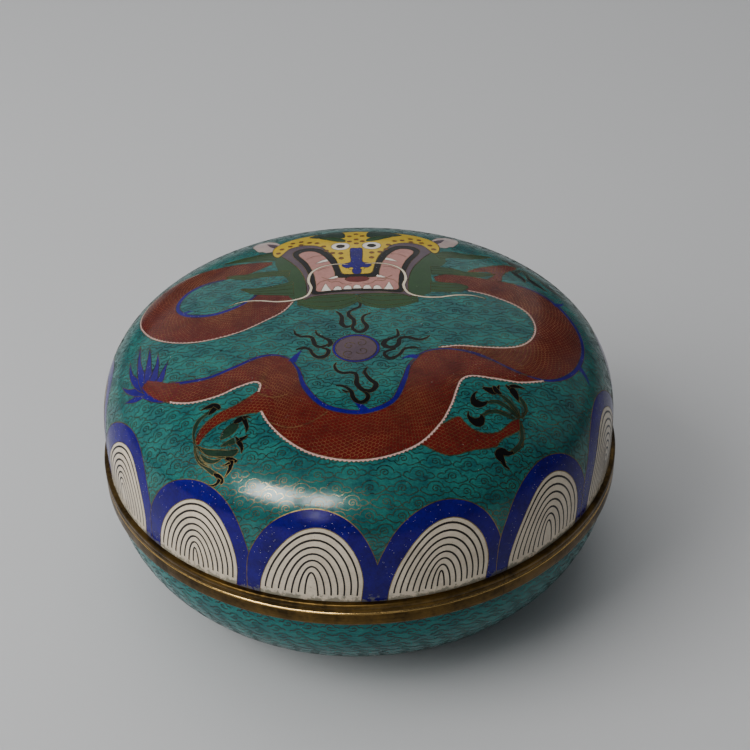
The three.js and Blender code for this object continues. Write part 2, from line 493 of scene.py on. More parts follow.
other_lines = [
    [(61.5, -65), (59.2, -61.1), (56.6, -58.7), (53.9, -57.4)],
    [(61.9, -64.9), (60.5, -60.3), (58.3, -56.9), (56.2, -54)],
    [(62.3, -64.8), (62.4, -60.1), (61.4, -56.4)],
    [(61, -65.5), (57.5, -63.6), (54.7, -63.2), (51.6, -62.8)],
    [(62.9, -64.6), (64.4, -60.5), (64, -57.1)],
    [(61.8, -66.2), (63, -69.9), (63.3, -73.2), (61.7, -76.9)],
    [(61.2, -66.8), (61.2, -70.3), (60.6, -73.9)],
]
far_toes = [
    [(71.6, 43, 1.2), (69.6, 46, 2), (68.4, 48.4, 1)],
    [(73, 41, 1.2), (71.4, 38, 2), (70.2, 35.4, 1.2)],
    [(74, 41, 1.2), (75.6, 36.6, 2), (76, 33, 1.2)],
    [(74.4, 42, 1.2), (79.6, 38, 2), (83, 33.6, 1.2)],
]
far_claws = [
    [(65.8, 50.4, 0.4), (68.6, 48.8, 2.2), (72, 47, 2.6), (75.4, 47.8, 0.3)],
    [(68.4, 37, 0.4), (70.4, 34, 2.4), (72.8, 30.6, 2.2), (73.4, 27.4, 0.3)],
    [(75, 34.4, 0.4), (77, 30.6, 2.6), (80, 27, 2.4), (83.2, 24.2, 0.3)],
    [(82.4, 34.2, 0.4), (85, 30, 2.6), (88.6, 26.4, 2.2), (92.2, 24.4, 0.3)],
]
for toes, claws, lines in (
    (near_toes, near_claws, near_lines), (other_toes, other_claws, other_lines), (far_toes, far_claws, []),
):
    strokes("moss", toes)
    strokes("black", claws)
    for line in lines:
        wire(smooth(line), FINE_WIRE)
print(len(near_claws) + len(other_claws) + len(far_claws), "strokes for the claws")

# %% Pearl, and the curls of gold on it
PEARL = (-0.5, -29.4)
CURLS = [(20, 1, -2.6, 1.6), (200, 1, 2.4, -1.8), (110, -1, 2.0, 3.4), (290, -1, -3.0, -3.6)]
CURL_SWEEP, CURL_POINTS = 400, 22
cell("cobalt", disc(*PEARL, 9.4, 44))
cell("mauve", disc(*PEARL, 8.1, 40), wire=0.3)
swing = np.linspace(2.6, 0.5, CURL_POINTS)
for start, hand, x, y in CURLS:
    turn = np.radians(np.linspace(start, start + hand * CURL_SWEEP, CURL_POINTS))
    curl = [PEARL[0] + x + swing * np.cos(turn), PEARL[1] + y + swing * np.sin(turn)]
    wire(np.column_stack(curl), FINE_WIRE)

# %% Flames round the pearl
FLAME_SPREAD = 1.25  # the ribbons' widths swell this much in the fire
FLAME_WIRE = 0.16
flames = [
    [(-8.2, -2.5, 0.4), (-6.6, -4.9, 1), (-5.8, -7.8, 1.3), (-6, -11.9, 1.6), (-4.7, -14.2, 1.2),
     (-2.7, -14.1, 0.9), (-1.2, -12.5, 0.9)],
    [(0.7, 4.7, 0.4), (1.8, 2.8, 0.8), (1.2, 0.2, 0.9), (-1.5, -1.8, 0.8), (-3.1, -3.8, 1.1),
     (-2.8, -6.5, 1.5),
     (-1.2, -9.2, 1.4), (-1, -12.2, 1.3), (-1.7, -15.1, 1.1), (-0.3, -17.7, 1.2), (1.7, -18.3, 1.5),
     (3.5, -16.8, 1.3),
     (4, -13.9, 1.4), (2.8, -11.3, 1.2), (2.4, -8.6, 1), (3.3, -6.3, 0.9), (5.8, -4.7, 0.3)],
    [(-25, -15.5, 0.3), (-24.4, -18.1, 0.8), (-22.4, -20.1, 0.9), (-20, -20.1, 1.1), (-18.1, -20.9, 1.2),
     (-17.2, -23.6, 1.4), (-16.6, -26.4, 1.2), (-14.6, -27.9, 1.2), (-12.3, -27.1, 0.9),
     (-10.7, -25.8, 1.3)],
    [(-16.3, -15.9, 0.3), (-16.1, -18.4, 0.7), (-14.7, -20.3, 0.9), (-12.7, -22, 0.9),
     (-10.9, -23.8, 1.4), (-10.5, -26.2, 1.4), (-11.7, -27.8, 0.9)],
    [(-24.1, -29.1, 0.4), (-22.5, -28.2, 1), (-20.1, -28.2, 1), (-18.4, -29.7, 1), (-17.6, -32.1, 1.1),
     (-15.8, -34.4, 1.4), (-13.6, -34.6, 1.7), (-11.9, -33.2, 1.4), (-11.3, -30.8, 1.3),
     (-12.5, -29, 0.8), (-13.9, -28.9, 0.4)],
    [(15.9, -17, 0.4), (16.4, -19.1, 0.8), (16, -21.9, 0.9), (13.5, -23.4, 1), (11, -25.2, 1.6),
     (10.5, -27.9, 1.8),
     (12.4, -29.4, 1.5), (14.8, -29.2, 1.4), (16.3, -27.2, 1.5), (16.7, -24.4, 1.2), (18.2, -22.9, 1.2),
     (21, -23, 1.1),
     (23.7, -24.4, 1.1), (26.5, -24, 0.8), (29, -21.7, 0.3)],
    [(24.6, -30.2, 0.4), (21.1, -29.9, 0.9), (18.3, -30.8, 1), (17, -33.4, 1), (14.9, -35.7, 1),
     (12.4, -36.6, 1.3),
     (10.8, -35, 1.1), (10.7, -32.9, 0.9), (12.8, -31.4, 0.9), (15.1, -30.5, 0.8)],
    [(-8.3, -38.5, 0.4), (-9, -40.6, 0.8), (-8.1, -43.5, 1), (-5.8, -45.1, 1.1), (-3.1, -45, 1.1),
     (-1, -45.8, 1.1),
     (-0.5, -48.4, 1.3), (-0.7, -51.1, 1.6), (0.4, -53.8, 1.5), (2.2, -55.6, 1.6), (4.7, -55.8, 1.6),
     (6.4, -53.8, 1.7),
     (6.5, -51.8, 1.6), (4.8, -49.8, 1.4), (3.4, -47.4, 1.1), (2.5, -44.7, 0.9), (3.7, -41.8, 0.3)],
    [(-8.5, -52.2, 0.7), (-6.2, -52.6, 0.9), (-4.1, -54.1, 1), (-2.7, -56.2, 1.3), (-2.2, -59, 1.4),
     (-0.7, -61.4, 1.4),
     (1.4, -61.8, 1.4), (3.1, -60.3, 1.4), (3.5, -58.4, 1.3), (2.4, -56.4, 1)],
    [(-6.3, -54.7, 0.3), (-5, -55.8, 0.8), (-3.6, -56.2, 0.5)],
]
strokes("black", [[(x, y, FLAME_SPREAD * wide) for x, y, wide in line] for line in flames], FLAME_WIRE)
print(len(flames), "ribbons of flame round the pearl")

# %% [markdown]
# ### The head
# The mask looks straight out, so only its right half is drawn, and a mirror makes the other half. The cells
# go down in the order that they lap: mane, ears, lips, mouth, teeth, the spotted face, then eyes and nose.

# %% Mirror pens for the head
HEAD_MIDDLE = 0.8


def mirrored(points):
    copy = np.array(points, float)
    copy[:, 0] = -copy[:, 0]
    return copy


def placed(points):
    moved = np.array(points, float)
    moved[:, 0] += HEAD_MIDDLE
    return moved


def both_sides(glaze, outline, width=GOLD_WIRE):
    for half in (outline, mirrored(outline)):
        cell(glaze, placed(half), width)


def closed_from_half(points, step=1.3):
    """A whole outline from its right half, given from the top to the bottom."""
    right = smooth(points, step)
    return placed(np.vstack([right, mirrored(right)[::-1]]))


# %% Mane and ears
HAIR_LINES = (-0.3, 0.0, 0.3)  # where they run, as shares of a lock's width
HAIR_WIRE = 0.14
left_locks = [
    [(-34, 48.6, 9), (-39.5, 49.2, 8), (-46, 49.2, 6), (-53, 49.4, 3.4), (-58, 49.4, 0.3)],
    [(-28, 30.4, 5), (-34.5, 31.2, 4.6), (-41.2, 31.2, 5), (-47, 30.8, 5), (-52.5, 32.4, 3.4),
     (-56, 33.4, 0.3)],
    [(-26, 16.8, 12), (-35.5, 16.4, 7.6), (-41.6, 16.9, 5.4), (-45.6, 18.6, 2.6), (-48.4, 19.8, 0.3)],
]
right_locks = [
    [(36, 44.6, 7.4), (42, 46.6, 6.6), (48.6, 46.2, 5.4), (55, 47.6, 4.2), (61.4, 50.4, 0.3)],
    [(32.6, 29.6, 8), (39.4, 29.6, 6.4), (46.7, 27.8, 4.2), (53.5, 28, 4), (61, 30.4, 0.3)],
    [(31.5, 15.6, 8.6), (38.2, 15.2, 8.2), (44, 15.6, 6.4), (47.4, 16.4, 1.6)],
]
beard = [(24.8, 5.8, 4.6), (17, 5.2, 11), (9, 5, 12), (2.6, 7.2, 8), (0.2, 9.4, 4)]
left_mass = [
    (-19, 9), (-25, 8), (-28, 11), (-28.6, 17), (-28.2, 22.4), (-29.4, 26.5), (-32, 30), (-33.5, 36),
    (-34.6, 40.6), (-34.6, 46), (-35, 52.4), (-31, 52.4), (-22, 46), (-18, 26),
]
right_mass = [
    (19, 9), (25.5, 7.6), (30, 9.6), (32, 12), (32.6, 19), (32.5, 26), (35.6, 32), (39, 36.6),
    (39.6, 41.6), (37.4, 47), (34, 51.6), (22, 46), (18, 26),
]
for mass in (left_mass, right_mass):
    cell("green", smooth(mass, closed=True), wire=0)
for lock in left_locks + right_locks:
    cell("green", stroke(lock), LOCK_WIRE)
both_sides("green", stroke(beard), LOCK_WIRE)
for lock in left_locks + right_locks + [placed(beard), placed(mirrored(beard))]:
    line = smooth(lock)
    for share in HAIR_LINES:
        wire(line[:, :2] + sideways(line) * line[:, 2:3] * share, HAIR_WIRE)
ear = [
    (33, 60), (36.6, 68), (41, 71.6), (45.4, 71), (46.8, 66), (45, 60), (43.6, 57), (41.6, 56.2),
    (40, 54.2), (37.6, 54.6), (36.2, 53), (34.4, 54.6),
]
both_sides("shell", smooth(ear, closed=True), 0.2)
both_sides("mauve", stroke([(34, 58, 2), (37, 62.4, 3.4), (40.4, 67.4, 0.4)]), 0)

# %% Mouth
lips = [
    (0, 10.6), (9, 10.8), (18.5, 9.6), (22.4, 7.2), (21.2, 12), (21.8, 22), (24.2, 32), (28.6, 41),
    (33.4, 49.6), (31.4, 55.4), (24.4, 59), (16.4, 57.6), (11.8, 50.6), (8.4, 42), (6, 34), (0, 34),
]
mouth_edge = [
    (0, 12.9), (9.5, 12.2), (17.6, 11.0), (19.2, 12.6), (19.6, 19), (20.6, 28), (23.6, 38),
    (27.6, 46.6), (27.2, 51.8), (22.4, 54.6), (16.4, 53.2), (11.8, 47), (8.8, 39.6), (7.2, 33),
    (6.2, 27.4), (0, 27.4),
]
mouth_inside = [
    (0, 15.0), (8.6, 14.4), (16.6, 13.4), (17.4, 19), (18.4, 28), (21.2, 38.6), (25, 46.6),
    (24.6, 49.6), (21.4, 51.2), (17.6, 49.8), (14, 44.6), (11.2, 37.6), (9.6, 30), (8.4, 24.6),
    (0, 24.6),
]
tongue = [(0, 25), (3.4, 24.8), (5.2, 23), (3.4, 21), (0, 20.4)]
cell("mauve", closed_from_half(lips))
cell("black", closed_from_half(mouth_edge), FINE_WIRE)
cell("pink", closed_from_half(mouth_inside, 1.0), FINE_WIRE)
cell("brick_red", closed_from_half(tongue, 0.8), 0.2)

# %% Teeth, fangs and the folds of the mouth
TOOTH_PITCH = 4.2
GUM, GUM_SLOPE = 14.9, 0.09
for number in range(3):
    middle = number * TOOTH_PITCH
    base = GUM - GUM_SLOPE * middle
    tooth = [
        (middle - 1.9, base), (middle - 1.6, base + 2.2), (middle - 0.4, base + 3.2),
        (middle + 1.0, base + 2.6), (middle + 1.9, base),
    ]
    if number == 0:
        cell("tooth", placed(tooth), FINE_WIRE)
    else:
        both_sides("tooth", tooth, FINE_WIRE)
canine = [(10.8, 13.8), (12, 16.4), (13.4, 20), (14.4, 16.8), (15.2, 13.6)]
upper_fang = [(12.9, 42), (15.4, 40.6), (17.9, 37.8), (15, 38.8), (12.1, 39.8)]
lower_fang = [(8.5, 26.2), (10.4, 25.4), (12.4, 23.6), (9.9, 23.7), (7.9, 24.6)]
for tooth in (canine, upper_fang, lower_fang):
    both_sides("tooth", tooth, 0.24)
mouth_folds = [
    [(11.4, 33.6), (14.4, 33.2), (17, 30.8)],
    [(15, 45.6), (18.4, 45.4), (21.8, 42.6)],
    [(6.4, 19.4), (8.2, 21.4), (11, 20.8), (12.6, 22.6), (15.4, 21.4), (16.8, 19)],
    [(2.2, 19.4), (4.2, 18.6), (6.4, 19.4)],
    [(8.6, 22.8), (12, 23), (15, 25.6)],
]
for fold in mouth_folds:
    line = smooth(fold, 1.0)
    for half in (line, mirrored(line)):
        wire(placed(half), FINE_WIRE)

# %% Face, brows, eyes and nose
face = [
    (0, 75.4), (7, 74.6), (14, 73.6), (20, 72), (27, 69.4), (33, 64.6), (36.8, 57.6), (36.6, 50),
    (34.2, 47.2), (31.8, 51.6), (29, 56.4), (22.6, 58.6), (16.4, 56), (12.8, 50.4), (9.6, 43),
    (7.8, 35.4), (6.4, 28.4), (3.6, 27.2), (0, 27.2),
]
cell("yellow", closed_from_half(face))
hair = [
    (5, 66.4), (5.4, 72.6), (8, 75.2), (13, 74.2), (18.2, 71.8), (21, 69), (16.4, 66.6), (11, 67.4),
    (7.6, 65.4),
]
both_sides("moss", smooth(hair, closed=True), 0.2)
brow = [(4.8, 60.4), (8.2, 60.8), (12.2, 63.2), (16.4, 66.6), (11, 67.4), (7.6, 65.6), (5.2, 63.2)]
both_sides("green", smooth(brow, closed=True), 0.3)
for radius, glaze in ((4.2, "tooth"), (1.95, "black")):
    both_sides(glaze, disc(6.9, 55, radius), FINE_WIRE)
nose_bridge = [
    (0, 52.4), (2.5, 52.2), (2.7, 45), (2.6, 38.4), (5.2, 37), (6.4, 34.8), (4.4, 32.6), (2.2, 33.2),
    (2.0, 30.2), (1.6, 27.8), (0, 26.9),
]
cell("cobalt", closed_from_half(nose_bridge, 1.0), 0.3)
both_sides("yellow", disc(2.5, 32.2, 1.0, 14), 0.24)

# %% Spots on the face, two rows that follow the brow and the snout
SPOT_RADIUS, SPOT_POINTS = 1.1, 12
spots = [(0.2, 70.8), (0.2, 63), (0.2, 57.8)]
spots_beside = [
    (34.4, 51.8), (33, 56.4), (29.4, 59), (28.4, 62.8), (24.6, 63.8), (24.6, 59.6), (20.8, 61.6),
    (17.4, 60.4), (14.4, 55.8), (13.2, 50.6), (10.4, 47.8), (6.8, 47.2), (6.6, 42.2), (2.9, 67.6),
    (2.9, 60.4),
]
for x, y in spots:
    cell("ochre", placed(disc(x, y, SPOT_RADIUS, SPOT_POINTS)), 0.2)
for x, y in spots_beside:
    both_sides("ochre", disc(x, y, SPOT_RADIUS, SPOT_POINTS), 0.2)

# %% Whiskers
whisker = [
    (3.6, 36.2, 0.5), (9.6, 36.6, 0.8), (15.6, 34.4, 1.0), (19.6, 29.4, 1.2), (20.6, 22.6, 1.3),
    (19.4, 16.6, 1.3), (21.2, 10.4, 1.2), (26.6, 7.4, 1.1), (33.6, 7.0, 1.0), (40.6, 8.8, 0.9),
    (47.4, 9.2, 0.7), (53.4, 7.2, 0.3),
]
both_sides("white", stroke(whisker), CLAW_WIRE)
print(len(cells), "cells and", len(wires), "fence wires on the paper")

# %% [markdown]
# ### Which wires show
# Cells lap over each other like paper cut-outs, but a real fence never runs under the next cell. So each
# wire is kept only where no later cell covers it. The test counts how often a cell's outline winds round
# a point, which also works for strokes that bend over themselves.


# %% Hide the covered wires
def inside(points, outline):
    """True for each point that the outline winds round."""
    found = np.zeros(len(points), bool)
    low, high = outline.min(0), outline.max(0)
    near = np.flatnonzero(((points >= low) & (points <= high)).all(1))
    if not len(near):
        return found
    x, y = points[near, 0:1], points[near, 1:2]
    start, end = outline, np.roll(outline, -1, axis=0)
    left = (end[:, 0] - start[:, 0]) * (y - start[:, 1]) - (x - start[:, 0]) * (end[:, 1] - start[:, 1])
    upward = (start[:, 1] <= y) & (end[:, 1] > y) & (left > 0)
    downward = (start[:, 1] > y) & (end[:, 1] <= y) & (left < 0)
    found[near] = upward.sum(1) != downward.sum(1)
    return found


cell_low = np.array([outline.min(0) for _, outline in cells])
cell_high = np.array([outline.max(0) for _, outline in cells])


def showing(line, closed=False, after=0):
    """The stretches of a line that no cell from number after on covers."""
    if closed:
        line = np.vstack([line, line[:1]])
    middles = (line[:-1] + line[1:]) / 2
    hidden = np.hypot(*middles.T) > LID_REACH
    near = (cell_low <= line.max(0)).all(1) & (cell_high >= line.min(0)).all(1)
    for number in np.flatnonzero(near[after:]) + after:
        hidden |= inside(middles, cells[number][1])
    ends = np.flatnonzero(np.diff(np.concatenate([[1], hidden, [1]])))
    return [line[start : end + 1] for start, end in zip(ends[::2], ends[1::2])]


shown_wires = []
for line, closed, width, after in wires:
    shown_wires += [(run, width) for run in showing(line, closed, after)]
shown_length = sum(length_of(run) for run, _ in shown_wires)
print(len(shown_wires), "stretches of wire show,", round(shown_length), "mm")

# %% [markdown]
# ## From paper to metal
# The same rule lays cells, wires and clouds on the metal: walk the drawn distance down the section of the
# dome, then turn to the drawn direction. The cells need it in Python, because they are cut up first. A
# constrained Delaunay triangulation cuts the paper along every outline, and rings of extra points keep
# the triangles small enough to bend.


# %% Lay points on a turned wall
def on_wall(flat, section, side=1, height=0.0):
    """Places and outward directions for paper points, height metres off a wall with this section."""
    along = distances_along(section)
    ahead = np.gradient(section, axis=0)
    ahead /= np.linalg.norm(ahead, axis=1)[:, None]
    reach = np.hypot(*flat.T)
    turn = flat / np.maximum(reach, 1e-9)[:, None] * (1, side)
    radius, rise = (np.interp(reach * MM, along, column) for column in section.T)
    tilt_out, tilt_up = (np.interp(reach * MM, along, column) for column in (-ahead[:, 1], ahead[:, 0]))
    outward = np.column_stack([turn * tilt_out[:, None], tilt_up]) * side
    place = np.column_stack([turn * radius[:, None], rise])
    return place + outward * height, outward


# %% Cut the dome's paper into cells
RING_STEP = 2.6
EDGE_POINTS = 360
SAME_POINT = 1e-4


def ring_of_points(reach, count, start=0.0):
    turn = start + np.arange(count) * 2 * math.pi / count
    return np.column_stack([reach * np.cos(turn), reach * np.sin(turn)])


def marks_on_paper():
    """The points and edges to cut along: the rim, every outline, then rings between them."""
    points = [ring_of_points(LID_REACH, EDGE_POINTS)] + [outline for _, outline in cells]
    edges, count = [], 0
    for outline in points:
        edges += [(count + i, count + (i + 1) % len(outline)) for i in range(len(outline))]
        count += len(outline)
    for number in range(1, int(LID_REACH / RING_STEP)):
        reach = number * RING_STEP
        points.append(ring_of_points(reach, int(2 * math.pi * reach / RING_STEP), number))
    return [Vector(point) for point in np.vstack(points)], edges


def cut_paper():
    """Triangles of the whole sheet, each with the number of its cell, or -1 for the ground."""
    corners, _, faces, _, _, _ = delaunay_2d_cdt(*marks_on_paper(), [], 0, SAME_POINT, False)
    corners, faces = np.array([tuple(corner) for corner in corners]), np.array(faces)
    faces = faces[np.hypot(*corners[faces].mean(1).T) < LID_REACH]
    middles = corners[faces].mean(1)
    owner = np.full(len(faces), -1)
    for number, (_, outline) in enumerate(cells):
        owner[inside(middles, outline)] = number
    used = np.unique(faces)
    renumber = np.zeros(len(corners), int)
    renumber[used] = np.arange(len(used))
    return corners[used], renumber[faces], owner


paper_points, paper_faces, paper_cells = cut_paper()
paper_glazes = ["teal" if number < 0 else cells[number][0] for number in paper_cells]
print(len(paper_faces), "triangles in", len(set(paper_glazes)), "glazes")

# %% [markdown]
# ## Glass
# Enamel is glass over metal: a clean, strong gloss over an even colour, with slow drifts of shade where the
# powder lay thicker, fine grain, and pits where bubbles burst in the fire. Every glaze has these, so they
# are one shader group with its own values in each material.


# %% Node outputs that work like numbers
class Wired:
    """A node's output that works like a number: a sign between it and a term makes one Math node."""

    def __init__(self, socket):
        self.socket, self.node, self.tree = socket, socket.node, socket.id_data

    def __getitem__(self, name):
        """Another output of the same node, by its name or number."""
        return Wired(self.node.outputs[name])

    def __add__(self, other):
        return calc("ADD", self, other)

    def __sub__(self, other):
        return calc("SUBTRACT", self, other)

    def __mul__(self, other):
        return calc("MULTIPLY", self, other)

    def __truediv__(self, other):
        return calc("DIVIDE", self, other)

    def __lt__(self, other):
        return calc("LESS_THAN", self, other)

    def __gt__(self, other):
        return calc("GREATER_THAN", self, other)


def connect(term, socket):
    """Link a wired output to a socket, or set the socket to a plain value. None leaves it as it is."""
    if isinstance(term, Wired):
        term.tree.links.new(term.socket, socket)
    elif term is not None:
        socket.default_value = term


def put(tree, kind, *terms, inputs=None, **settings):
    """One node: its settings first, then its inputs in order, then inputs by name."""
    node = tree.nodes.new(kind)
    for label, value in settings.items():
        setattr(node, label, value)
    for term, socket in zip(terms, node.inputs):
        connect(term, socket)
    for label, term in (inputs or {}).items():
        connect(term, node.inputs[label])
    return Wired(node.outputs[0])


def tree_of(terms):
    return next(term.tree for term in terms if isinstance(term, Wired))


def calc(operation, *terms):
    return put(tree_of(terms), "ShaderNodeMath", *terms, operation=operation)


def xyz(*terms):
    return put(tree_of(terms), "ShaderNodeCombineXYZ", *terms)


def parts_of(vector):
    parts = put(vector.tree, "ShaderNodeSeparateXYZ", vector)
    return [parts[number] for number in range(3)]


# %% Nodes that both finishes use
def blend_colours(share, first, second):
    mixed = put(share.tree, "ShaderNodeMix", data_type="RGBA")
    terms = {"Factor_Float": share, "A_Color": first, "B_Color": second}
    for socket in mixed.node.inputs:
        connect(terms.get(socket.identifier), socket)
    return Wired(next(s for s in mixed.node.outputs if s.identifier == "Result_Color"))


def noise(where, scale, detail=2.0, roughness=0.5):
    values = {"Vector": where, "Scale": scale, "Detail": detail, "Roughness": roughness}
    return put(where.tree, "ShaderNodeTexNoise", inputs=values)["Fac"]


def ramp(value, low, high, to_low=0.0, to_high=1.0):
    """The value's stretch from low to high becomes to_low to to_high, and no more."""
    return put(value.tree, "ShaderNodeMapRange", value, low, high, to_low, to_high)


def node_group(name, kind, inputs, outputs):
    """A group with named sockets: its tree, its given values by name, and the sockets of its result."""
    tree = bpy.data.node_groups.new(name, kind)
    for label, socket_kind, *value in inputs:
        socket = tree.interface.new_socket(label, in_out="INPUT", socket_type=socket_kind)
        if value:
            socket.default_value = value[0]
    for label, socket_kind in outputs:
        tree.interface.new_socket(label, in_out="OUTPUT", socket_type=socket_kind)
    way_in, way_out = tree.nodes.new("NodeGroupInput"), tree.nodes.new("NodeGroupOutput")
    return tree, Wired(way_in.outputs[0]), way_out.inputs


def object_position(tree):
    return put(tree, "ShaderNodeTexCoord")["Object"]


COLOUR, NUMBER = "NodeSocketColor", "NodeSocketFloat"
SHADER = "ShaderNodeTree"
SURFACE = [("Color", COLOUR), ("Roughness", NUMBER), ("Height", NUMBER)]

# %% Fired enamel: drifts of shade, pits and specks
PIT_CELLS = 1200
PIT_RADIUS = 0.15  # as a share of one cell of the pits' pattern
PIT_DARK, SPECK_PALE, WORN_METAL = (0.012, 0.011, 0.01, 1), (0.62, 0.6, 0.55, 1), (0.17, 0.17, 0.13, 1)
ANY_COLOUR = (0.1, 0.3, 0.3, 1)
enamel_group, given, result = node_group("fired_enamel", SHADER, [
    ("Glaze", COLOUR, ANY_COLOUR), ("Thin Glaze", COLOUR, ANY_COLOUR), ("Drift", NUMBER, 0.5),
    ("Pits", NUMBER, 0.1), ("Specks", NUMBER, 0.05), ("Gloss", NUMBER, 0.14), ("Edge Wear", NUMBER, 0.0),
], SURFACE)
where = object_position(enamel_group)
drift = ramp(noise(where, 110, 5, 0.65), 0.38, 0.62)
grain = ramp(noise(where, 900, 3, 0.7), 0.35, 0.7)
colour = blend_colours((drift + grain) * 0.5 * given["Drift"], given["Glaze"], given["Thin Glaze"])
pits = put(enamel_group, "ShaderNodeTexVoronoi", inputs={"Vector": where, "Scale": PIT_CELLS})
chance = put(enamel_group, "ShaderNodeSeparateColor", pits["Color"])
near = pits["Distance"] < PIT_RADIUS
pit_mask = near * (chance[0] < given["Pits"])
speck_mask = near * (chance[1] < given["Specks"])
colour = blend_colours(pit_mask * 0.75, colour, PIT_DARK)
colour = blend_colours(speck_mask * 0.6, colour, SPECK_PALE)

# %% Fired enamel: wear at the rim, gloss and dimples
above_rim = parts_of(where)[2] - DOME_BASE
close_to_rim = ramp(above_rim, 0.2 * MM, 4 * MM, 0.3, 0.0) * (above_rim > -MM)
worn = ramp(noise(where, 420, 5, 0.7) + close_to_rim, 0.66, 0.76) * given["Edge Wear"]
connect(blend_colours(worn, colour, WORN_METAL), result["Color"])
dulled = ramp(noise(where, 210, 3), 0.3, 0.75, 0.0, 0.1)
connect(given["Gloss"] + dulled + pit_mask * 0.4, result["Roughness"])
waves, dimples = noise(where, 75, 1), noise(where, 380, 2)
connect(waves + dimples * 0.1 - pit_mask * 0.25, result["Height"])
print("enamel group has", len(enamel_group.nodes), "nodes")


# %% Materials that take their pattern from a group
def from_srgb(red, green, blue):
    """A colour as a colour picker shows it, from 0 to 255, as the shader wants it."""
    values = [c / 255 for c in (red, green, blue)]
    return tuple(c / 12.92 if c <= 0.04045 else ((c + 0.055) / 1.055) ** 2.4 for c in values) + (1.0,)


def patterned_material(name, group, values, bump, bump_depth, **settings):
    """A Principled material that takes colour, roughness and height from a group."""
    made = bpy.data.materials.new(name)
    made.use_nodes = True
    tree = made.node_tree
    pattern = put(tree, "ShaderNodeGroup", inputs=values, node_tree=group)
    relief = put(tree, "ShaderNodeBump", inputs={
        "Strength": bump, "Distance": bump_depth, "Height": pattern["Height"],
    })
    settings |= {"Base Color": pattern["Color"], "Roughness": pattern["Roughness"], "Normal": relief}
    for label, term in settings.items():
        connect(term, tree.nodes["Principled BSDF"].inputs[label])
    return made


# %% One material for each glaze
GLAZES = {  # the glaze where it lies thick, where it lies thin, then its drift, pits and specks
    "teal": ((28, 110, 101), (8, 58, 66), 1.0, 0.03, 0.008),
    # The bowl's teal is the lid's teal made lighter: painted light bounced up from the floor.
    "bowl_teal": ((24, 112, 106), (13, 76, 80), 1.0, 0.03, 0.008),
    "cobalt": ((26, 1, 116), (14, 1, 64), 0.8, 0.02, 0.24),
    "white": ((218, 204, 181), (184, 169, 148), 0.8, 0.07, 0.0),
    "tooth": ((222, 214, 204), (206, 196, 184), 0.8, 0.02, 0.0),
    "brick_red": ((98, 18, 13), (66, 11, 9), 0.8, 0.04, 0.06),
    "pale": ((206, 168, 158), (178, 138, 130), 0.8, 0.04, 0.0),
    "shell": ((182, 162, 152), (152, 134, 134), 0.9, 0.04, 0.0),
    "moss": ((30, 56, 40), (15, 30, 22), 1.0, 0.04, 0.02),
    "black": ((9, 8, 8), (15, 13, 13), 0.8, 0.0, 0.02),
    "mauve": ((82, 64, 72), (62, 48, 58), 0.8, 0.03, 0.01),
    "green": ((30, 64, 22), (20, 48, 18), 0.9, 0.03, 0.01),
    "pink": ((172, 122, 112), (148, 100, 92), 0.8, 0.03, 0.0),
    "yellow": ((198, 166, 26), (168, 138, 16), 0.8, 0.03, 0.0),
    "ochre": ((112, 70, 16), (88, 52, 12), 0.6, 0.0, 0.0),
    "turquoise": ((52, 128, 126), (38, 104, 106), 0.8, 0.03, 0.02),
}
EDGE_WORN = {"white": 0.8, "cobalt": 0.6}
GLASS_MIRROR, DULL_MIRROR = 0.33, 0.18
DULL_GLAZES = ("bowl_teal", "cobalt", "black")
GLASS_BUMP, GLASS_BUMP_DEPTH = 0.3, 0.4 * MM
glaze_materials = {}
for name, (glaze, thin, drift_amount, pit_amount, speck_amount) in GLAZES.items():
    values = {
        "Glaze": from_srgb(*glaze), "Thin Glaze": from_srgb(*thin), "Drift": drift_amount,
        "Pits": pit_amount, "Specks": speck_amount, "Edge Wear": EDGE_WORN.get(name, 0.0),
    }
    mirror = {"Specular IOR Level": DULL_MIRROR if name in DULL_GLAZES else GLASS_MIRROR}
    glaze_materials[name] = patterned_material(
        name + "_enamel", enamel_group, values, GLASS_BUMP, GLASS_BUMP_DEPTH, **mirror
    )
print(len(glaze_materials), "glazes")

# %% [markdown]
# ## Brass and wire
# The rims are turned brass that has gone brown between cleanings. Lathe marks run round the axis, so the
# pattern is squeezed in height and stretched round the ring. Along the edge at the seam, a band of paler
# metal is a painted highlight, and the rims' ends meet in a thin dark joint. The wires are metal ground
# flush: dark with age, and bright only where a light is mirrored.

# %% Toned brass
JOINT_AT = math.radians(28.8)
JOINT_DARK = (0.008, 0.005, 0.003, 1)
# Paler brass for the painted highlight along the edge at the seam.
SEAM_HIGHLIGHT_BRASS = from_srgb(186, 152, 92)
ROUND_THE_RING = (0.02, 0.02, 1.0)
# Bright Edge paints a highlight along the edge at the seam, and makes the bowl's rim lighter towards its
# bottom.
brass_group, given, result = node_group("toned_brass", SHADER, [
    ("Metal", COLOUR, ANY_COLOUR), ("Tone", COLOUR, ANY_COLOUR), ("Polish", NUMBER, 0.3),
    ("Lathe Marks", NUMBER, 0.5), ("Joint", NUMBER, 0.0), ("Bright Edge", NUMBER, 0.0),
], SURFACE)
where = object_position(brass_group)
squeezed = put(brass_group, "ShaderNodeMapping", inputs={"Vector": where, "Scale": ROUND_THE_RING})
marks = noise(squeezed, 3200, 2)
tone = noise(where, 55, 4, 0.65) * 0.7 + noise(where, 520, 3, 0.6) * 0.3
tone = ramp(tone + (marks - 0.5) * 0.25, 0.38, 0.62)
x, y, z = parts_of(where)
above_seam = z - SEAM
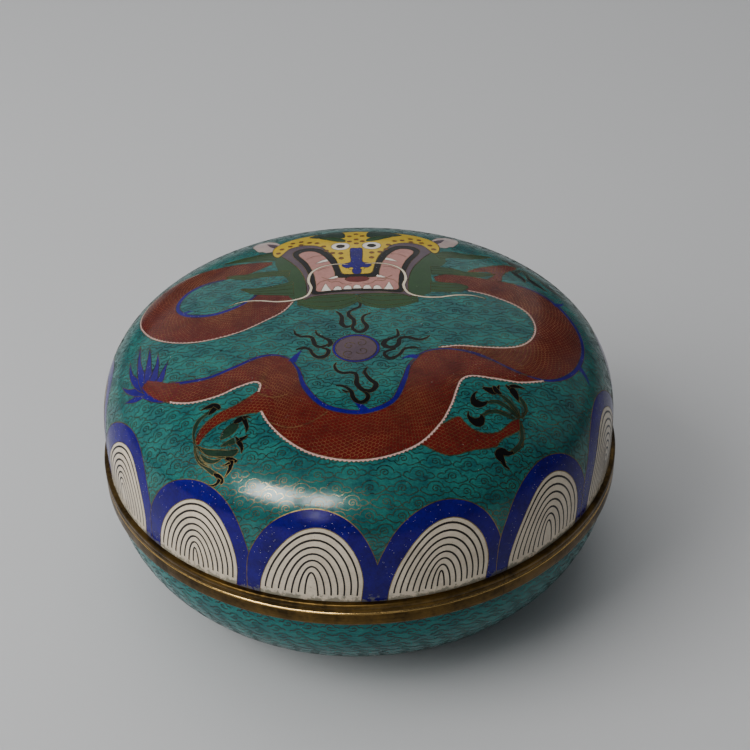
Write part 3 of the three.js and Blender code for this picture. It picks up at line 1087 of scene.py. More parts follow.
# The painted highlight: paler, glossier metal in a thin band along the rounded edge at the seam.
from_edge = calc("ABSOLUTE", above_seam + 0.45 * MM)
seam_highlight = ramp(from_edge, 0.15 * MM, 0.45 * MM, 1.0, 0.0) * given["Bright Edge"]
low_band = ramp(above_seam, -6 * MM, -3.5 * MM, 0.4, 0.0) * given["Bright Edge"]
tone = calc("MAXIMUM", tone - low_band, 0.0)
colour = blend_colours(tone, given["Metal"], given["Tone"])
colour = blend_colours(seam_highlight, colour, SEAM_HIGHLIGHT_BRASS)
beside = x * math.cos(JOINT_AT) + y * math.sin(JOINT_AT)
joint = (calc("ABSOLUTE", beside) < 0.12 * MM) * (y - x < 0.0) * given["Joint"]
connect(blend_colours(joint, colour, JOINT_DARK), result["Color"])
connect(given["Polish"] + tone * 0.2 - seam_highlight * 0.16, result["Roughness"])
connect(marks * given["Lathe Marks"], result["Height"])


# %% One material for each brass and wire
def brass_material(name, metal, tone, polish, metallic=1.0, bump=0.0, **more):
    """Two colours as a colour picker shows them, the polish, and any more values for the group."""
    values = {"Metal": from_srgb(*metal), "Tone": from_srgb(*tone), "Polish": polish, **more}
    return patterned_material(name, brass_group, values, bump, 0.1 * MM, Metallic=metallic)


# The rims' dark joint and lathe marks, and the painted highlight along the edge at the seam.
rim_wear_and_highlight = {"Joint": 0.8, "Lathe Marks": 1.0, "Bright Edge": 1.0}
rim_brass = brass_material("rim_brass", (100, 77, 38), (48, 37, 19), 0.3, bump=0.35, **rim_wear_and_highlight)
foot_brass = brass_material("foot_brass", (120, 84, 44), (58, 40, 22), 0.38, bump=0.25)
wire_brass = brass_material("wire_brass", (102, 99, 76), (26, 26, 21), 0.25)
figure_brass = brass_material("figure_brass", (140, 120, 72), (70, 60, 36), 0.34)
scale_brass = brass_material("scale_brass", (172, 136, 86), (90, 62, 42), 0.42)
dark_wire = brass_material("dark_wire", (34, 26, 20), (18, 14, 12), 0.4, metallic=0.5)

# %% [markdown]
# ## The enamelled lid
# The cut paper becomes the outer skin, each triangle with its glaze. A bare edge and a plain inner skin
# close it into one wall 3 mm thick. The light on a glossy dome shows every flat, so each corner gets the
# dome's true outward direction instead of one guessed from the triangles.


# %% Close the wall and dress it
def new_object(name, mesh):
    made = bpy.data.objects.new(name, mesh)
    bpy.context.scene.collection.objects.link(made)
    return made


def open_edge(faces, flat):
    """The points round the open edge of a flat sheet of triangles, in order."""
    ends = np.sort(faces[:, [0, 1, 1, 2, 2, 0]].reshape(-1, 2), axis=1)
    edges, uses = np.unique(ends, axis=0, return_counts=True)
    edge = np.unique(edges[uses == 1])
    return edge[np.argsort(np.arctan2(flat[edge, 1], flat[edge, 0]))]


def inner_skin(edge, outer):
    """Rings of points inside the wall, from its edge to its middle, with their outward directions."""
    across = outer[edge, :2] / np.linalg.norm(outer[edge, :2], axis=1)[:, None]
    section = lid_inside[::-1]
    tilt = np.gradient(section, axis=0)
    tilt /= np.linalg.norm(tilt, axis=1)[:, None]
    points, normals = [], []
    for (radius, height), (step_out, step_up) in zip(section[:-1], tilt[:-1]):
        points.append(np.column_stack([across * radius, np.full(len(edge), height)]))
        normals.append(np.column_stack([-across * step_up, np.full(len(edge), step_out)]))
    return points + [np.array([[0, 0, section[-1][1]]])], normals + [np.array([[0, 0, -1.0]])]


def skin_faces(edge, first, ring_count):
    """Faces that join the edge to the rings after it, and the last ring to the middle point."""
    rings = [edge] + [np.arange(len(edge)) + first + number * len(edge) for number in range(ring_count)]
    faces = []
    for upper, lower in zip(rings[1:], rings[:-1]):
        faces += np.column_stack([lower, upper, np.roll(upper, -1), np.roll(lower, -1)]).tolist()
    middle = np.full(len(edge), first + ring_count * len(edge))
    return faces + np.column_stack([rings[-1], middle, np.roll(rings[-1], -1)]).tolist()


def dress_mesh(mesh, glazes, normals):
    """Give each face its glaze, and each corner the true outward direction of its point."""
    order = sorted(set(glazes))
    for name in order:
        mesh.materials.append(glaze_materials[name])
    mesh.polygons.foreach_set("material_index", [order.index(name) for name in glazes])
    mesh.shade_smooth()
    corner_points = np.zeros(len(mesh.loops), int)
    mesh.loops.foreach_get("vertex_index", corner_points)
    return normals[corner_points]


def build_lid():
    outer, outer_normals = on_wall(paper_points, lid_outside)
    edge = open_edge(paper_faces, paper_points)
    points, normals = inner_skin(edge, outer)
    lining = skin_faces(edge, len(outer), len(points) - 1)
    mesh = bpy.data.meshes.new("lid_enamel")
    mesh.from_pydata(np.vstack([outer, *points]).tolist(), [], paper_faces.tolist() + lining)
    glazes = paper_glazes + ["turquoise"] * len(lining)
    corner_normals = dress_mesh(mesh, glazes, np.vstack([outer_normals, *normals]))
    bare_edge = range(len(paper_faces), len(paper_faces) + len(edge))
    for number in bare_edge:
        for corner in mesh.polygons[number].loop_indices:
            corner_normals[corner] = (0, 0, -1)
    mesh.normals_split_custom_set(corner_normals.tolist())
    return new_object("lid_enamel", mesh)


lid_enamel = build_lid()
print("lid enamel:", len(lid_enamel.data.polygons), "faces, materials:", len(lid_enamel.data.materials))

# %% [markdown]
# ## Wires, by Geometry Nodes
# A fence wire follows a drawn line. Its tree sweeps a small wedge along the line on flat paper, flat side
# up as it was ground and point down in the enamel, and then lays the result on the wall: walk the section
# by the drawn distance, turn to the drawn direction, and stand off by the drawn height. The laying is a
# group of its own, as every tree needs it.

# %% The group that lays paper on a turned wall
GEOMETRY, OBJECT, MATERIAL = "NodeSocketGeometry", "NodeSocketObject", "NodeSocketMaterial"
TREE = "GeometryNodeTree"
SHAPE = [("Geometry", GEOMETRY)]
lay_group, given, result = node_group("lay_on_wall", TREE, [
    ("Geometry", GEOMETRY), ("Section", GEOMETRY), ("Side", NUMBER),
], SHAPE)
x, y, z = parts_of(put(lay_group, "GeometryNodeInputPosition"))
reach = calc("MAXIMUM", calc("SQRT", x * x + y * y), 1e-6)
along = {"Curves": given["Section"], "Length": reach * MM}
walk = put(lay_group, "GeometryNodeSampleCurve", inputs=along, mode="LENGTH")
radius, _, rise = parts_of(walk["Position"])
step_out, _, step_up = parts_of(walk["Tangent"])
stand_off = z * MM * given["Side"]
share = (radius - step_up * stand_off) / reach
place = xyz(x * share, y * share * given["Side"], rise + step_out * stand_off)
laid = {"Geometry": given["Geometry"], "Position": place}
connect(put(lay_group, "GeometryNodeSetPosition", inputs=laid), result[0])

# %% The group that turns drawn lines into wire
WIRE_PROUD = 0.035
WIRE_DEPTH = 0.1
WEDGE = WIRE_PROUD + WIRE_DEPTH
wire_group, given, result = node_group("drawn_wire", TREE, [
    ("Geometry", GEOMETRY), ("Wire Width", NUMBER),
], SHAPE)
path = put(wire_group, "GeometryNodeSetCurveNormal", given["Geometry"], mode="Z_UP")
triangle = put(wire_group, "GeometryNodeCurvePrimitiveCircle", inputs={"Resolution": 3, "Radius": 1.0})
upright = put(wire_group, "GeometryNodeTransform", inputs={
    "Geometry": triangle, "Rotation": (0, 0, math.pi / 2),
})
wedge = put(wire_group, "GeometryNodeTransform", inputs={
    "Geometry": upright, "Translation": (0, WEDGE / 3 - WIRE_PROUD, 0),
    "Scale": xyz(given["Wire Width"] / math.sqrt(3), WEDGE / 1.5, 1.0),
})
swept = put(wire_group, "GeometryNodeCurveToMesh", inputs={
    "Curve": path, "Profile Curve": wedge, "Fill Caps": True,
})
flat = put(wire_group, "GeometryNodeSetShadeSmooth", inputs={"Geometry": swept, "Shade Smooth": False})
connect(flat, result[0])


# %% What every tree of wires does with its lines
def shape_of(tree, drawing):
    return put(tree, "GeometryNodeObjectInfo", drawing)["Geometry"]


def bend(tree, lines, given):
    """Drawn lines swept into wire, still flat."""
    return put(tree, "GeometryNodeGroup", lines, given["Wire Width"], node_tree=wire_group)


def lay_and_coat(tree, wires, given, result):
    """Make the instances real, lay them on the wall and give them their metal."""
    whole = put(tree, "GeometryNodeRealizeInstances", wires)
    section = shape_of(tree, given["Section"])
    laid = put(tree, "GeometryNodeGroup", whole, section, given["Side"], node_tree=lay_group)
    coated = {"Geometry": laid, "Material": given["Metal"]}
    connect(put(tree, "GeometryNodeSetMaterial", inputs=coated), result[0])


# %% Run a tree and keep a plain mesh
def lines_object(name, lines, closed=False):
    """Paper lines as a curve object: a list of point lists, x and y in millimetres."""
    data = bpy.data.curves.new(name, "CURVE")
    data.dimensions = "3D"
    for line in lines:
        flat = np.zeros((len(line), 4))
        flat[:, : line.shape[1]] = line
        flat[:, 3] = 1
        spline = data.splines.new("POLY")
        spline.points.add(len(line) - 1)
        spline.points.foreach_set("co", flat.ravel())
        spline.use_cyclic_u = closed
    return new_object(name, data)


def run_tree(tree, name, values, points=None, turns=None, picks=None):
    """Run a tree with its named inputs on a sheet of points, and return a plain mesh object."""
    sheet = bpy.data.meshes.new(name)
    if points is not None:
        flat = np.zeros((len(points), 3))
        flat[:, :2] = points
        sheet.from_pydata(flat.tolist(), [], [])
        for label, column in (("turn", turns), ("pick", picks)):
            sheet.attributes.new(label, "FLOAT", "POINT").data.foreach_set("value", column)
    holder = new_object(name + "_sheet", sheet)
    modifier = holder.modifiers.new(tree.name, "NODES")
    modifier.node_group = tree
    sockets = {item.name: item.identifier for item in tree.interface.items_tree if item.in_out == "INPUT"}
    for label, value in values.items():
        modifier[sockets[label]] = value
    evaluated = holder.evaluated_get(bpy.context.evaluated_depsgraph_get())
    mesh = bpy.data.meshes.new_from_object(evaluated)
    bpy.data.objects.remove(holder)
    mesh.name = name
    return new_object(name, mesh)


section_lines = {}
for name, section in (("lid_section", lid_outside), ("bowl_section", bowl_outside)):
    upright = np.column_stack([section[:, 0], np.zeros(len(section)), section[:, 1]])
    section_lines[name] = lines_object(name, [upright])

# %% [markdown]
# ### Fence wires and nested arches
# Wires of one width are swept together. Their ends overlap where cells meet, as soldered ends do.

# %% Sweep the fences
WALL_INPUTS = [("Section", OBJECT), ("Side", NUMBER), ("Wire Width", NUMBER), ("Metal", MATERIAL)]
fence_tree, given, result = node_group("fence_wires", TREE, [("Lines", OBJECT), *WALL_INPUTS], SHAPE)
lay_and_coat(fence_tree, bend(fence_tree, shape_of(fence_tree, given["Lines"]), given), given, result)


def wall_values(section, side, width, metal):
    return {"Section": section_lines[section], "Side": side, "Wire Width": width, "Metal": metal}


def sweep_wires(name, lines, width, metal, section, side=1.0):
    drawing = lines_object(name + "_lines", lines)
    made = run_tree(fence_tree, name, {"Lines": drawing, **wall_values(section, side, width, metal)})
    bpy.data.objects.remove(drawing)
    print(f"{name}: {len(made.data.polygons)} faces")
    return made


def joined(name, pieces):
    """Several meshes with one material, as one piece."""
    bpy.ops.object.select_all(action="DESELECT")
    for piece in pieces:
        piece.select_set(True)
    bpy.context.view_layer.objects.active = pieces[0]
    bpy.ops.object.join()
    pieces[0].name = pieces[0].data.name = name
    return pieces[0]


fences = []
for width in sorted({width for _, width in shown_wires}):
    lines = [line[:, :2] for line, own in shown_wires if own == width]
    metal = scale_brass if width == HIP_WIRE else figure_brass
    fences.append(sweep_wires(f"fences_{round(width * 100)}", lines, width, metal, "lid_section"))
figure_wires = joined("figure_wires", fences)
lappet_wires = sweep_wires("lappet_wires", tongue_lines, ARCH_WIRE, dark_wire, "lid_section")

# %% [markdown]
# ### Clouds and scales
# The ground is filled with little cloud scrolls and the dragon with scales: one bent wire repeated some
# hundreds of times. That is work for instances: points carry a turn and a pick, the tree puts a wire on
# each, makes the instances real and lays them on the wall with the rest.

# %% A tree that repeats small bent wires
repeat_tree, given, result = node_group("repeated_wires", TREE, [
    ("Geometry", GEOMETRY), ("First Wire", OBJECT), ("Second Wire", OBJECT), *WALL_INPUTS,
], SHAPE)
templates = put(repeat_tree, "GeometryNodeGeometryToInstance")
for label in ("Second Wire", "First Wire"):
    connect(bend(repeat_tree, shape_of(repeat_tree, given[label]), given), templates.node.inputs[0])


def stored(label):
    """The number that each point of the sheet carries under this name."""
    named = {"Name": label}
    return put(repeat_tree, "GeometryNodeInputNamedAttribute", inputs=named, data_type="FLOAT")["Attribute"]


stamped = put(repeat_tree, "GeometryNodeInstanceOnPoints", inputs={
    "Points": given["Geometry"], "Instance": templates, "Pick Instance": True,
    "Instance Index": stored("pick"), "Rotation": xyz(0.0, 0.0, stored("turn")),
})
lay_and_coat(repeat_tree, stamped, given, result)


def repeat_wires(name, templates, points, turns, picks, width, metal, section, side=1.0):
    first, second = templates
    values = {"First Wire": first, "Second Wire": second, **wall_values(section, side, width, metal)}
    made = run_tree(repeat_tree, name, values, points, turns, picks)
    print(f"{name}: {len(points)} copies, {len(made.data.polygons)} faces")
    return made


# %% Cloud templates
CURL_FLATNESS = 0.82


def spiral(x, y, start, sweep, wide, narrow, count):
    turn = np.radians(np.linspace(start, start + sweep, count))
    swing = np.linspace(wide, narrow, count)
    return np.column_stack([x + swing * np.cos(turn), y + swing * CURL_FLATNESS * np.sin(turn)])


def cloud_lines(hand):
    """A long lobed outline with a curl in its middle. hand is 1 or -1 for its mirror image."""
    crown = [
        (-6.1, -0.4), (-5.5, 0.7), (-4.4, 1.1), (-3.4, 0.6), (-3.1, 1.7), (-2.1, 2.7), (-0.6, 3.1),
        (1.1, 3.0), (2.5, 2.2), (3.1, 0.8), (4.1, 1.2), (5.3, 0.8), (6.1, -0.3),
    ]
    floor = [
        (6.1, -0.3), (4.7, -1.1), (3.3, -0.9), (2.6, -1.8), (1.1, -2.3), (-0.6, -1.5), (-1.9, -2.1),
        (-3.5, -1.7), (-4.7, -1.1), (-6.1, -0.4),
    ]
    curl = np.vstack([[(3.1, -0.3), (2.4, -0.9)], spiral(0.0, 0.4, -35, 540, 1.9, 0.3, 14)])
    return [np.array(line) * (hand, 1) for line in (crown, floor, curl)]


cloud_drawings = (cloud_lines(1), cloud_lines(-1))
lid_clouds = [lines_object(f"cloud_{number}", lines) for number, lines in enumerate(cloud_drawings)]

# %% Clouds on the lid: whole ones repeat, and the ones at a border are cut to it
rng = np.random.default_rng(5)
CLOUD_WIRE = 0.3
CLOUD_WIDE, CLOUD_TALL = 12.6, 5.3
CLOUD_DRIFT, CLOUD_TURN = 0.4, 0.07
ROW_START = -LID_REACH - 8
SHORTEST = 0.9
whole_clouds, cut_wires = [], []
for number, y in enumerate(np.arange(-LID_REACH, LID_REACH, CLOUD_TALL)):
    for x in np.arange(ROW_START + CLOUD_WIDE / 2 * (number % 2), LID_REACH, CLOUD_WIDE):
        spot = np.array([x, y]) + rng.uniform(-CLOUD_DRIFT, CLOUD_DRIFT, 2)
        turn, pick = rng.uniform(-CLOUD_TURN, CLOUD_TURN), int(rng.integers(0, 2))
        spin = np.array([[math.cos(turn), math.sin(turn)], [-math.sin(turn), math.cos(turn)]])
        lines = [smooth(line, FINE_STEP) @ spin + spot for line in cloud_drawings[pick]]
        runs = [run for line in lines for run in showing(line)]
        if len(runs) == len(lines) and sum(map(len, runs)) == sum(map(len, lines)):
            whole_clouds.append((*spot, turn, pick))
        else:
            cut_wires += [run for run in runs if length_of(run) > SHORTEST]
x, y, turns, picks = np.array(whole_clouds).T
cloud_wires = joined("cloud_wires", [
    repeat_wires("whole_clouds", lid_clouds, np.column_stack([x, y]), turns, picks, CLOUD_WIRE, wire_brass,
                 "lid_section"),
    sweep_wires("cut_clouds", cut_wires, CLOUD_WIRE, wire_brass, "lid_section"),
])

# %% Scales in rows between each back and belly
SCALE_ALONG, SCALE_ACROSS = 1.45, 1.62
SCALE_HALF = 0.81
SCALE_WIRE = 0.14


def scale_template(name, depth):
    turn = np.radians(np.linspace(-88, 88, 5))
    arc = [depth * np.cos(turn) - depth / 2, SCALE_HALF * np.sin(turn)]
    return lines_object(name, [np.column_stack(arc)])


scale_arcs = (scale_template("scale_deep", 1.33), scale_template("scale_short", 1.16))


def scale_rows(back, belly):
    """Points and turns for rows of scales across a body between its two lines."""
    count = int(max(length_of(back), length_of(belly)) / SCALE_ALONG)
    back = evenly(back, length_of(back) / count)[: count + 1]
    belly = evenly(belly, length_of(belly) / count)[: count + 1]
    found, turned = [], []
    middles = (back + belly) / 2
    ahead = np.gradient(middles, axis=0)
    for i in range(1, count):
        width = np.linalg.norm(back[i] - belly[i])
        across = int(width / SCALE_ACROSS)
        for j in range(across + 1):
            share = (j + 0.5 * (i % 2) + 0.25) / (across + 0.75)
            found.append(back[i] * (1 - share) + belly[i] * share)
            turned.append(math.atan2(ahead[i][1], ahead[i][0]))
    return np.array(found), np.array(turned)


def scale_field(outline, heading):
    """Points and turns for scales all over one outline, in rows across its heading in degrees."""
    turn = math.radians(heading)
    axes = np.array([[math.cos(turn), math.sin(turn)], [-math.sin(turn), math.cos(turn)]])
    low, high = (outline @ axes.T).min(0), (outline @ axes.T).max(0)
    grid = [
        (x, y + SCALE_ACROSS / 2 * (number % 2))
        for number, x in enumerate(np.arange(low[0], high[0], SCALE_ALONG))
        for y in np.arange(low[1], high[1], SCALE_ACROSS)
    ]
    return np.array(grid) @ axes, np.full(len(grid), turn)


# %% Lay the scales, clear of every cell that laps over them
SCALE_CLEARANCE = 0.6
FIVE_PLACES = SCALE_CLEARANCE * np.array([(0, 0), (1, 0), (0, 1), (-1, 0), (0, -1)])
fields = [(number, *scale_field(cells[number][1], heading)) for number, heading in limbs]
for number, (back, belly) in enumerate(stretches, first_stretch):
    fields.append((number, *scale_rows(back, belly)))
scale_spots, scale_turns = [], []
for own, found, turned in fields:
    open_spot = inside(found, cells[own][1])
    for _, outline in cells[own + 1:]:
        for step in FIVE_PLACES:
            open_spot &= ~inside(found + step, outline)
    scale_spots.append(found[open_spot])
    scale_turns.append(turned[open_spot])
scale_spots, scale_turns = np.vstack(scale_spots), np.concatenate(scale_turns)
scale_picks = rng.integers(0, 2, len(scale_spots)).astype(float)
scale_wires = repeat_wires(
    "scale_wires", scale_arcs, scale_spots, scale_turns, scale_picks, SCALE_WIRE, scale_brass, "lid_section"
)

# %% [markdown]
# ## The bowl
# The bowl is one turned wall. A tree sweeps its section round the axis, which is how a lathe or a spinner
# would make it. The same tree turns the rims and the foot ring.

# %% A tree that turns a section
TURNING_FLATS = 288
POLE_GAP = 1e-5  # points nearer than this, in metres, become one at the poles and the seam
turn_tree, given, result = node_group("turned_section", TREE, [
    ("Section", OBJECT), ("Flats", "NodeSocketInt"), ("Finish", MATERIAL),
], SHAPE)
circle = put(turn_tree, "GeometryNodeCurvePrimitiveCircle", inputs={
    "Resolution": given["Flats"], "Radius": 1.0,
})
backwards = put(turn_tree, "GeometryNodeReverseCurve", circle)
path = put(turn_tree, "GeometryNodeSetCurveNormal", backwards, mode="Z_UP")
half_turn = put(turn_tree, "GeometryNodeTransform", inputs={
    "Geometry": shape_of(turn_tree, given["Section"]), "Rotation": (0, 0, math.pi),
})
swept = put(turn_tree, "GeometryNodeCurveToMesh", inputs={"Curve": path, "Profile Curve": half_turn})
closed_up = put(turn_tree, "GeometryNodeMergeByDistance", inputs={"Geometry": swept, "Distance": POLE_GAP})
whole = put(turn_tree, "GeometryNodeRealizeInstances", closed_up)
coated = put(turn_tree, "GeometryNodeSetMaterial", inputs={"Geometry": whole, "Material": given["Finish"]})
connect(coated, result[0])


def turned_piece(name, section, finish, closed=True, sharp=30):
    """A closed section of radius and height in metres, turned into a piece."""
    drawing = lines_object(name + "_section", [np.array(section) - (1.0, 0)], closed)
    made = run_tree(turn_tree, name, {"Section": drawing, "Flats": TURNING_FLATS, "Finish": finish})
    bpy.data.objects.remove(drawing)
    made.data.shade_smooth()
    made.data.set_sharp_from_angle(angle=math.radians(sharp))
    places = np.array([v.co for v in made.data.vertices]) / MM
    low, high, wide = places[:, 2].min(), places[:, 2].max(), places[:, 0].max()
    print(f"{name}: {len(places)} points, radius {wide:.1f} mm, height {low:.1f} to {high:.1f} mm")
    return made


# %% Turn the bowl's wall
bowl_wall = np.vstack([
    [(0, BOWL_BASE)],
    evenly(bowl_section(0)[1:], 2.0 * MM),
    evenly(bowl_section(WALL)[1:], 2.5 * MM)[::-1],
    [(0, BOWL_BASE + WALL)],
])
# Its teal is lighter than the lid's: painted light bounced up from the floor.
bowl_enamel = turned_piece("bowl_enamel", bowl_wall, glaze_materials["bowl_teal"], closed=False, sharp=60)


def line_the_bowl(piece):
    """The faces inside the wall get the plain counter-enamel."""
    piece.data.materials.append(glaze_materials["turquoise"])
    half_wall = WALL / 2
    lined = 0
    for face in piece.data.polygons:
        radius = math.hypot(face.center.x, face.center.y)
        across = max(radius - FOOT_RADIUS, 0) / (SHELL_RADIUS - FOOT_RADIUS - half_wall)
        down = (BOWL_TOP - face.center.z) / (BOWL_TOP - BOWL_BASE - half_wall)
        if across**2 + down**2 < 1:
            face.material_index = 1
            lined += 1
    print(lined, "faces lined with turquoise")


line_the_bowl(bowl_enamel)

# %% Clouds round the bowl
BOWL_ROW = 4.6
BOWL_CLOUD = 8.6
BOWL_CLOUD_WIRE = 0.5
ROW_BELOW_RIM, ROW_ABOVE_FOOT = 2.6, 4
ROW_DRIFT = 0.008
bowl_along = distances_along(bowl_outside) / MM


def bowl_template(name, hand):
    crown = [
        (-4.4, -0.7), (-3.6, 0.2), (-2.5, -0.1), (-1.7, 1.2), (0, 1.7), (1.7, 1.1), (2.5, -0.1),
        (3.5, 0.3), (4.4, -0.7),
    ]
    hook = [(-2.4, -1.5), (-1.2, -1.9), (0.4, -1.7), (1.2, -0.9), (0.7, -0.1), (-0.3, -0.1), (-0.6, -0.8)]
    return lines_object(name, [smooth(line) * (hand, 1) for line in (crown, hook)])


bowl_clouds = (bowl_template("bowl_cloud_right", 1), bowl_template("bowl_cloud_left", -1))
bowl_spots, bowl_turns = [], []
reach = BOWL_REACH - ROW_BELOW_RIM
row = 0
while reach > FOOT_RADIUS / MM + ROW_ABOVE_FOOT:
    real_radius = np.interp(reach, bowl_along, bowl_outside[:, 0]) / MM
    count = int(2 * math.pi * real_radius / BOWL_CLOUD)
    for number in range(count):
        turn = 2 * math.pi * (number + 0.5 * (row % 2)) / count + rng.uniform(-ROW_DRIFT, ROW_DRIFT)
        bowl_spots.append((reach * math.cos(turn), reach * math.sin(turn)))
        bowl_turns.append(turn - math.pi / 2)
    reach -= BOWL_ROW
    row += 1
bowl_picks = rng.integers(0, 2, len(bowl_spots)).astype(float)
bowl_cloud_wires = repeat_wires(
    "bowl_cloud_wires", bowl_clouds, np.array(bowl_spots), np.array(bowl_turns), bowl_picks,
    BOWL_CLOUD_WIRE, dark_wire, "bowl_section", side=-1.0,
)
print(row, "rows of clouds round the bowl")

# %% [markdown]
# ## Rims and foot
# Each brass rim is a turned ring with a soft edge. The lid's has one shallow groove, and the bowl's has a
# rounded upper edge that catches the light, and a lip inside that keeps the lid in place.


# %% Turn the rims and the foot ring
def rounded(corner_radius, corner_height, size, start, end, steps=6):
    """An arc of radius and height points, for a soft edge."""
    turn = np.radians(np.linspace(start, end, steps))
    return [(corner_radius + size * math.cos(t), corner_height + size * math.sin(t)) for t in turn]


MOUTH = SHELL_RADIUS - WALL
EDGE = 0.9 * MM
SOFT = 0.5 * MM
GROOVE = 0.22 * MM
LID_RIM_MIDDLE = (SEAM + DOME_BASE) / 2
lid_rim_section = [
    (MOUTH, SEAM),
    *rounded(RIM_RADIUS - SOFT, SEAM + SOFT, SOFT, -90, 0),
    (RIM_RADIUS, LID_RIM_MIDDLE - GROOVE),
    (RIM_RADIUS - GROOVE / 2, LID_RIM_MIDDLE),
    (RIM_RADIUS, LID_RIM_MIDDLE + GROOVE),
    *rounded(RIM_RADIUS - EDGE, DOME_BASE - EDGE, EDGE, 0, 90),
    (MOUTH, DOME_BASE),
]
lid_ring = turned_piece("lid_rim_brass", lid_rim_section, rim_brass)

LIP_CLEARANCE, LIP_WIDTH = 0.6 * MM, 2 * MM
LIP_SOFT = 0.4 * MM
UNDER_EDGE = 1.2 * MM
LIP_OUTSIDE = MOUTH - LIP_CLEARANCE
LIP_INSIDE = LIP_OUTSIDE - LIP_WIDTH
bowl_rim_section = [
    (MOUTH, BOWL_TOP),
    (SHELL_RADIUS + 0.1 * MM, BOWL_TOP),
    *rounded(RIM_RADIUS - UNDER_EDGE, BOWL_TOP + 1.6 * MM, UNDER_EDGE, -60, 0, 5),
    *rounded(RIM_RADIUS - EDGE, SEAM - EDGE, EDGE, 0, 90),
    (LIP_OUTSIDE, SEAM),
    *rounded(LIP_OUTSIDE - LIP_SOFT, LIP_TOP - LIP_SOFT, LIP_SOFT, 0, 90, 4),
    *rounded(LIP_INSIDE + LIP_SOFT, LIP_TOP - LIP_SOFT, LIP_SOFT, 90, 180, 4),
    (LIP_INSIDE, BOWL_TOP + LIP_WIDTH),
]
bowl_ring = turned_piece("bowl_rim_brass", bowl_rim_section, rim_brass)

foot_section = [
    *rounded(FOOT_RADIUS - FOOT_WIDTH + SOFT, SOFT, SOFT, 180, 270, 4),
    *rounded(FOOT_RADIUS - SOFT, SOFT, SOFT, 270, 360, 4),
    (FOOT_RADIUS, BOWL_BASE),
    (FOOT_RADIUS - FOOT_WIDTH, BOWL_BASE),
]
foot_ring = turned_piece("foot_ring_brass", foot_section, foot_brass)

# %% [markdown]
# ## Studio
# A pale floor, panes of light from the front left, and an even room. A big lamp softens the shadows and
# small ones leave the highlights, so each is seen either in the gloss or in the colour. The camera looks
# down on the box with a short telephoto lens, so the front of the rim is near without bulging.

# %% Floor
FLOOR_HALF = 4.0
FLOOR_GREY = (0.56, 0.56, 0.56, 1)
corners = [(x * FLOOR_HALF, y * FLOOR_HALF, 0) for x, y in ((-1, -1), (1, -1), (1, 1), (-1, 1))]
floor_mesh = bpy.data.meshes.new("floor")
floor_mesh.from_pydata(corners, [], [(0, 1, 2, 3)])
floor = new_object("floor", floor_mesh)
floor_paint = bpy.data.materials.new("floor_paint")
floor_paint.use_nodes = True
paint = floor_paint.node_tree.nodes["Principled BSDF"].inputs
connect(FLOOR_GREY, paint["Base Color"])
connect(0.6, paint["Roughness"])
floor_mesh.materials.append(floor_paint)

# %% Light
world = bpy.data.worlds.new("room")
world.use_nodes = True
room = world.node_tree.nodes["Background"].inputs
connect((0.86, 0.92, 1.0, 1), room["Color"])
connect(0.13, room["Strength"])
bpy.context.scene.world = world
BOX_MIDDLE = Vector((0, 0, SEAM))


def window(name, angle, rise, away, wide, tall, watts, soft=True, mirrored=True):
    """A rectangle of light that faces the box, angle degrees right of the viewer and rise degrees up."""
    lamp = bpy.data.lights.new(name, "AREA")
    lamp.shape = "RECTANGLE"
    lamp.size, lamp.size_y = wide, tall
    lamp.energy = watts
    holder = new_object(name, lamp)
    holder.visible_diffuse, holder.visible_glossy = soft, mirrored
    turn, lift = math.radians(angle), math.radians(rise)
    towards = Vector((math.sin(turn) * math.cos(lift), -math.cos(turn) * math.cos(lift), math.sin(lift)))
    holder.location = BOX_MIDDLE + towards * away
    holder.rotation_euler = towards.to_track_quat("Z", "Y").to_euler()
    return holder


# Name, angle and rise in degrees, away, wide and tall in metres, and watts.
window("left_pane", -41, 38, 1.5, 0.42, 0.44, 21, soft=False)
window("right_pane", -18.5, 40, 1.5, 0.26, 0.34, 8, soft=False)
window("low_lamp", -18, 21, 1.4, 0.14, 0.28, 1.2, soft=False)
window("window_light", -64, 36, 1.6, 1.2, 1.2, 23, mirrored=False)
window("left_wall", -108, 20, 2.2, 2.4, 1.4, 4)
window("ceiling", -100, 74, 1.9, 2.4, 2.4, 20, mirrored=False)
window("back_wall", 190, 33, 2.2, 3.0, 1.6, 7.5)
window("right_wall", 112, 28, 2.2, 1.8, 1.4, 1.8)

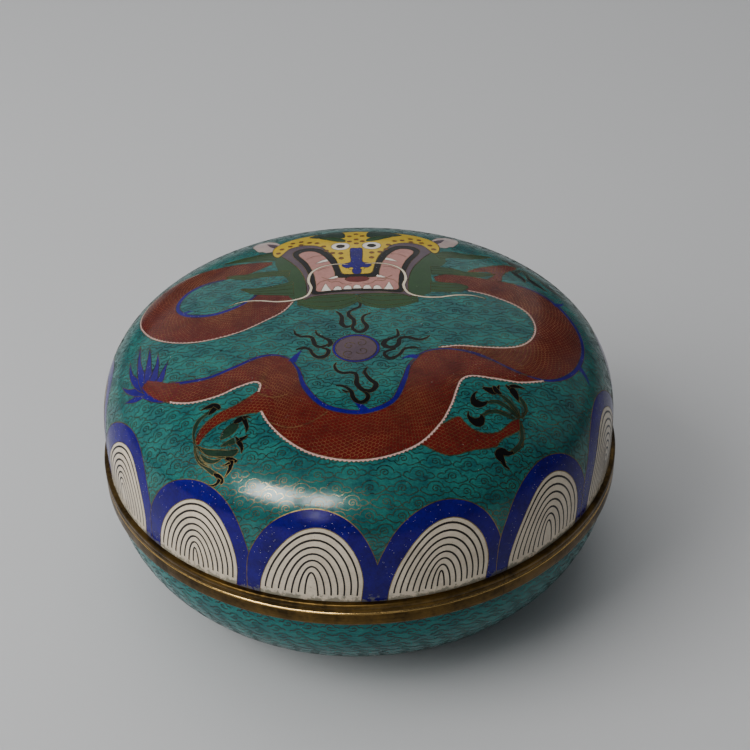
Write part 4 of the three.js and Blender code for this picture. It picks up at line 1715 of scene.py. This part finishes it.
# %% Camera
CAMERA_RISE = math.radians(37.22)
CAMERA_AWAY = 0.5992
AIM_HEIGHT = DOME_BASE - 2.84 * MM
PAN, TILT, ROLL = 0.0123, 0.0408, -0.0219
LENS = 65.87


def aimed_camera():
    """Look at the axis of the box, then pan, tilt and roll a little, as a hand-held camera does."""
    back = Vector((0, -math.cos(CAMERA_RISE), math.sin(CAMERA_RISE)))
    right = Vector((1, 0, 0))
    upward = right.cross(-back)
    ahead = (-back + right * PAN + upward * TILT).normalized()
    right = ahead.cross(Vector((0, 0, 1))).normalized()
    upward = right.cross(ahead)
    rolled_right = right * math.cos(ROLL) + upward * math.sin(ROLL)
    rolled_up = upward * math.cos(ROLL) - right * math.sin(ROLL)
    data = bpy.data.cameras.new("camera")
    data.lens = LENS
    data.sensor_width = 36
    holder = new_object("camera", data)
    turn = Matrix((rolled_right, rolled_up, -ahead)).transposed()
    place = back * CAMERA_AWAY + Vector((0, 0, AIM_HEIGHT))
    holder.matrix_world = Matrix.Translation(place) @ turn.to_4x4()
    return holder


bpy.context.scene.camera = aimed_camera()
print("camera stands", round(CAMERA_AWAY, 3), "m away")

# %% [markdown]
# ## Hand the pieces over
# Drawings and templates are tools, not parts, so they go. Each piece rides on the one body, and the plain
# solids that the dressed pieces stand in for are hidden.

# %% Clear the drawings away
for template in (*section_lines.values(), *lid_clouds, *scale_arcs, *bowl_clouds):
    bpy.data.objects.remove(template)

# %% Ride on the body, and hide the plain solids
pieces = {
    lid_enamel: "lid_enamel", bowl_enamel: "bowl_enamel", lid_ring: "brass", bowl_ring: "brass",
    foot_ring: "brass", figure_wires: "brass", lappet_wires: "brass", cloud_wires: "brass",
    scale_wires: "brass", bowl_cloud_wires: "brass",
}
for piece, finish in pieces.items():
    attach(piece, "root")
    count = sum(len(face.vertices) - 2 for face in piece.data.polygons)
    print(f"{piece.name}: {count} triangles")
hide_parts("lid_shell")
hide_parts("bowl_shell")
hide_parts("lid_rim")
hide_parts("bowl_rim")
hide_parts("foot_ring")
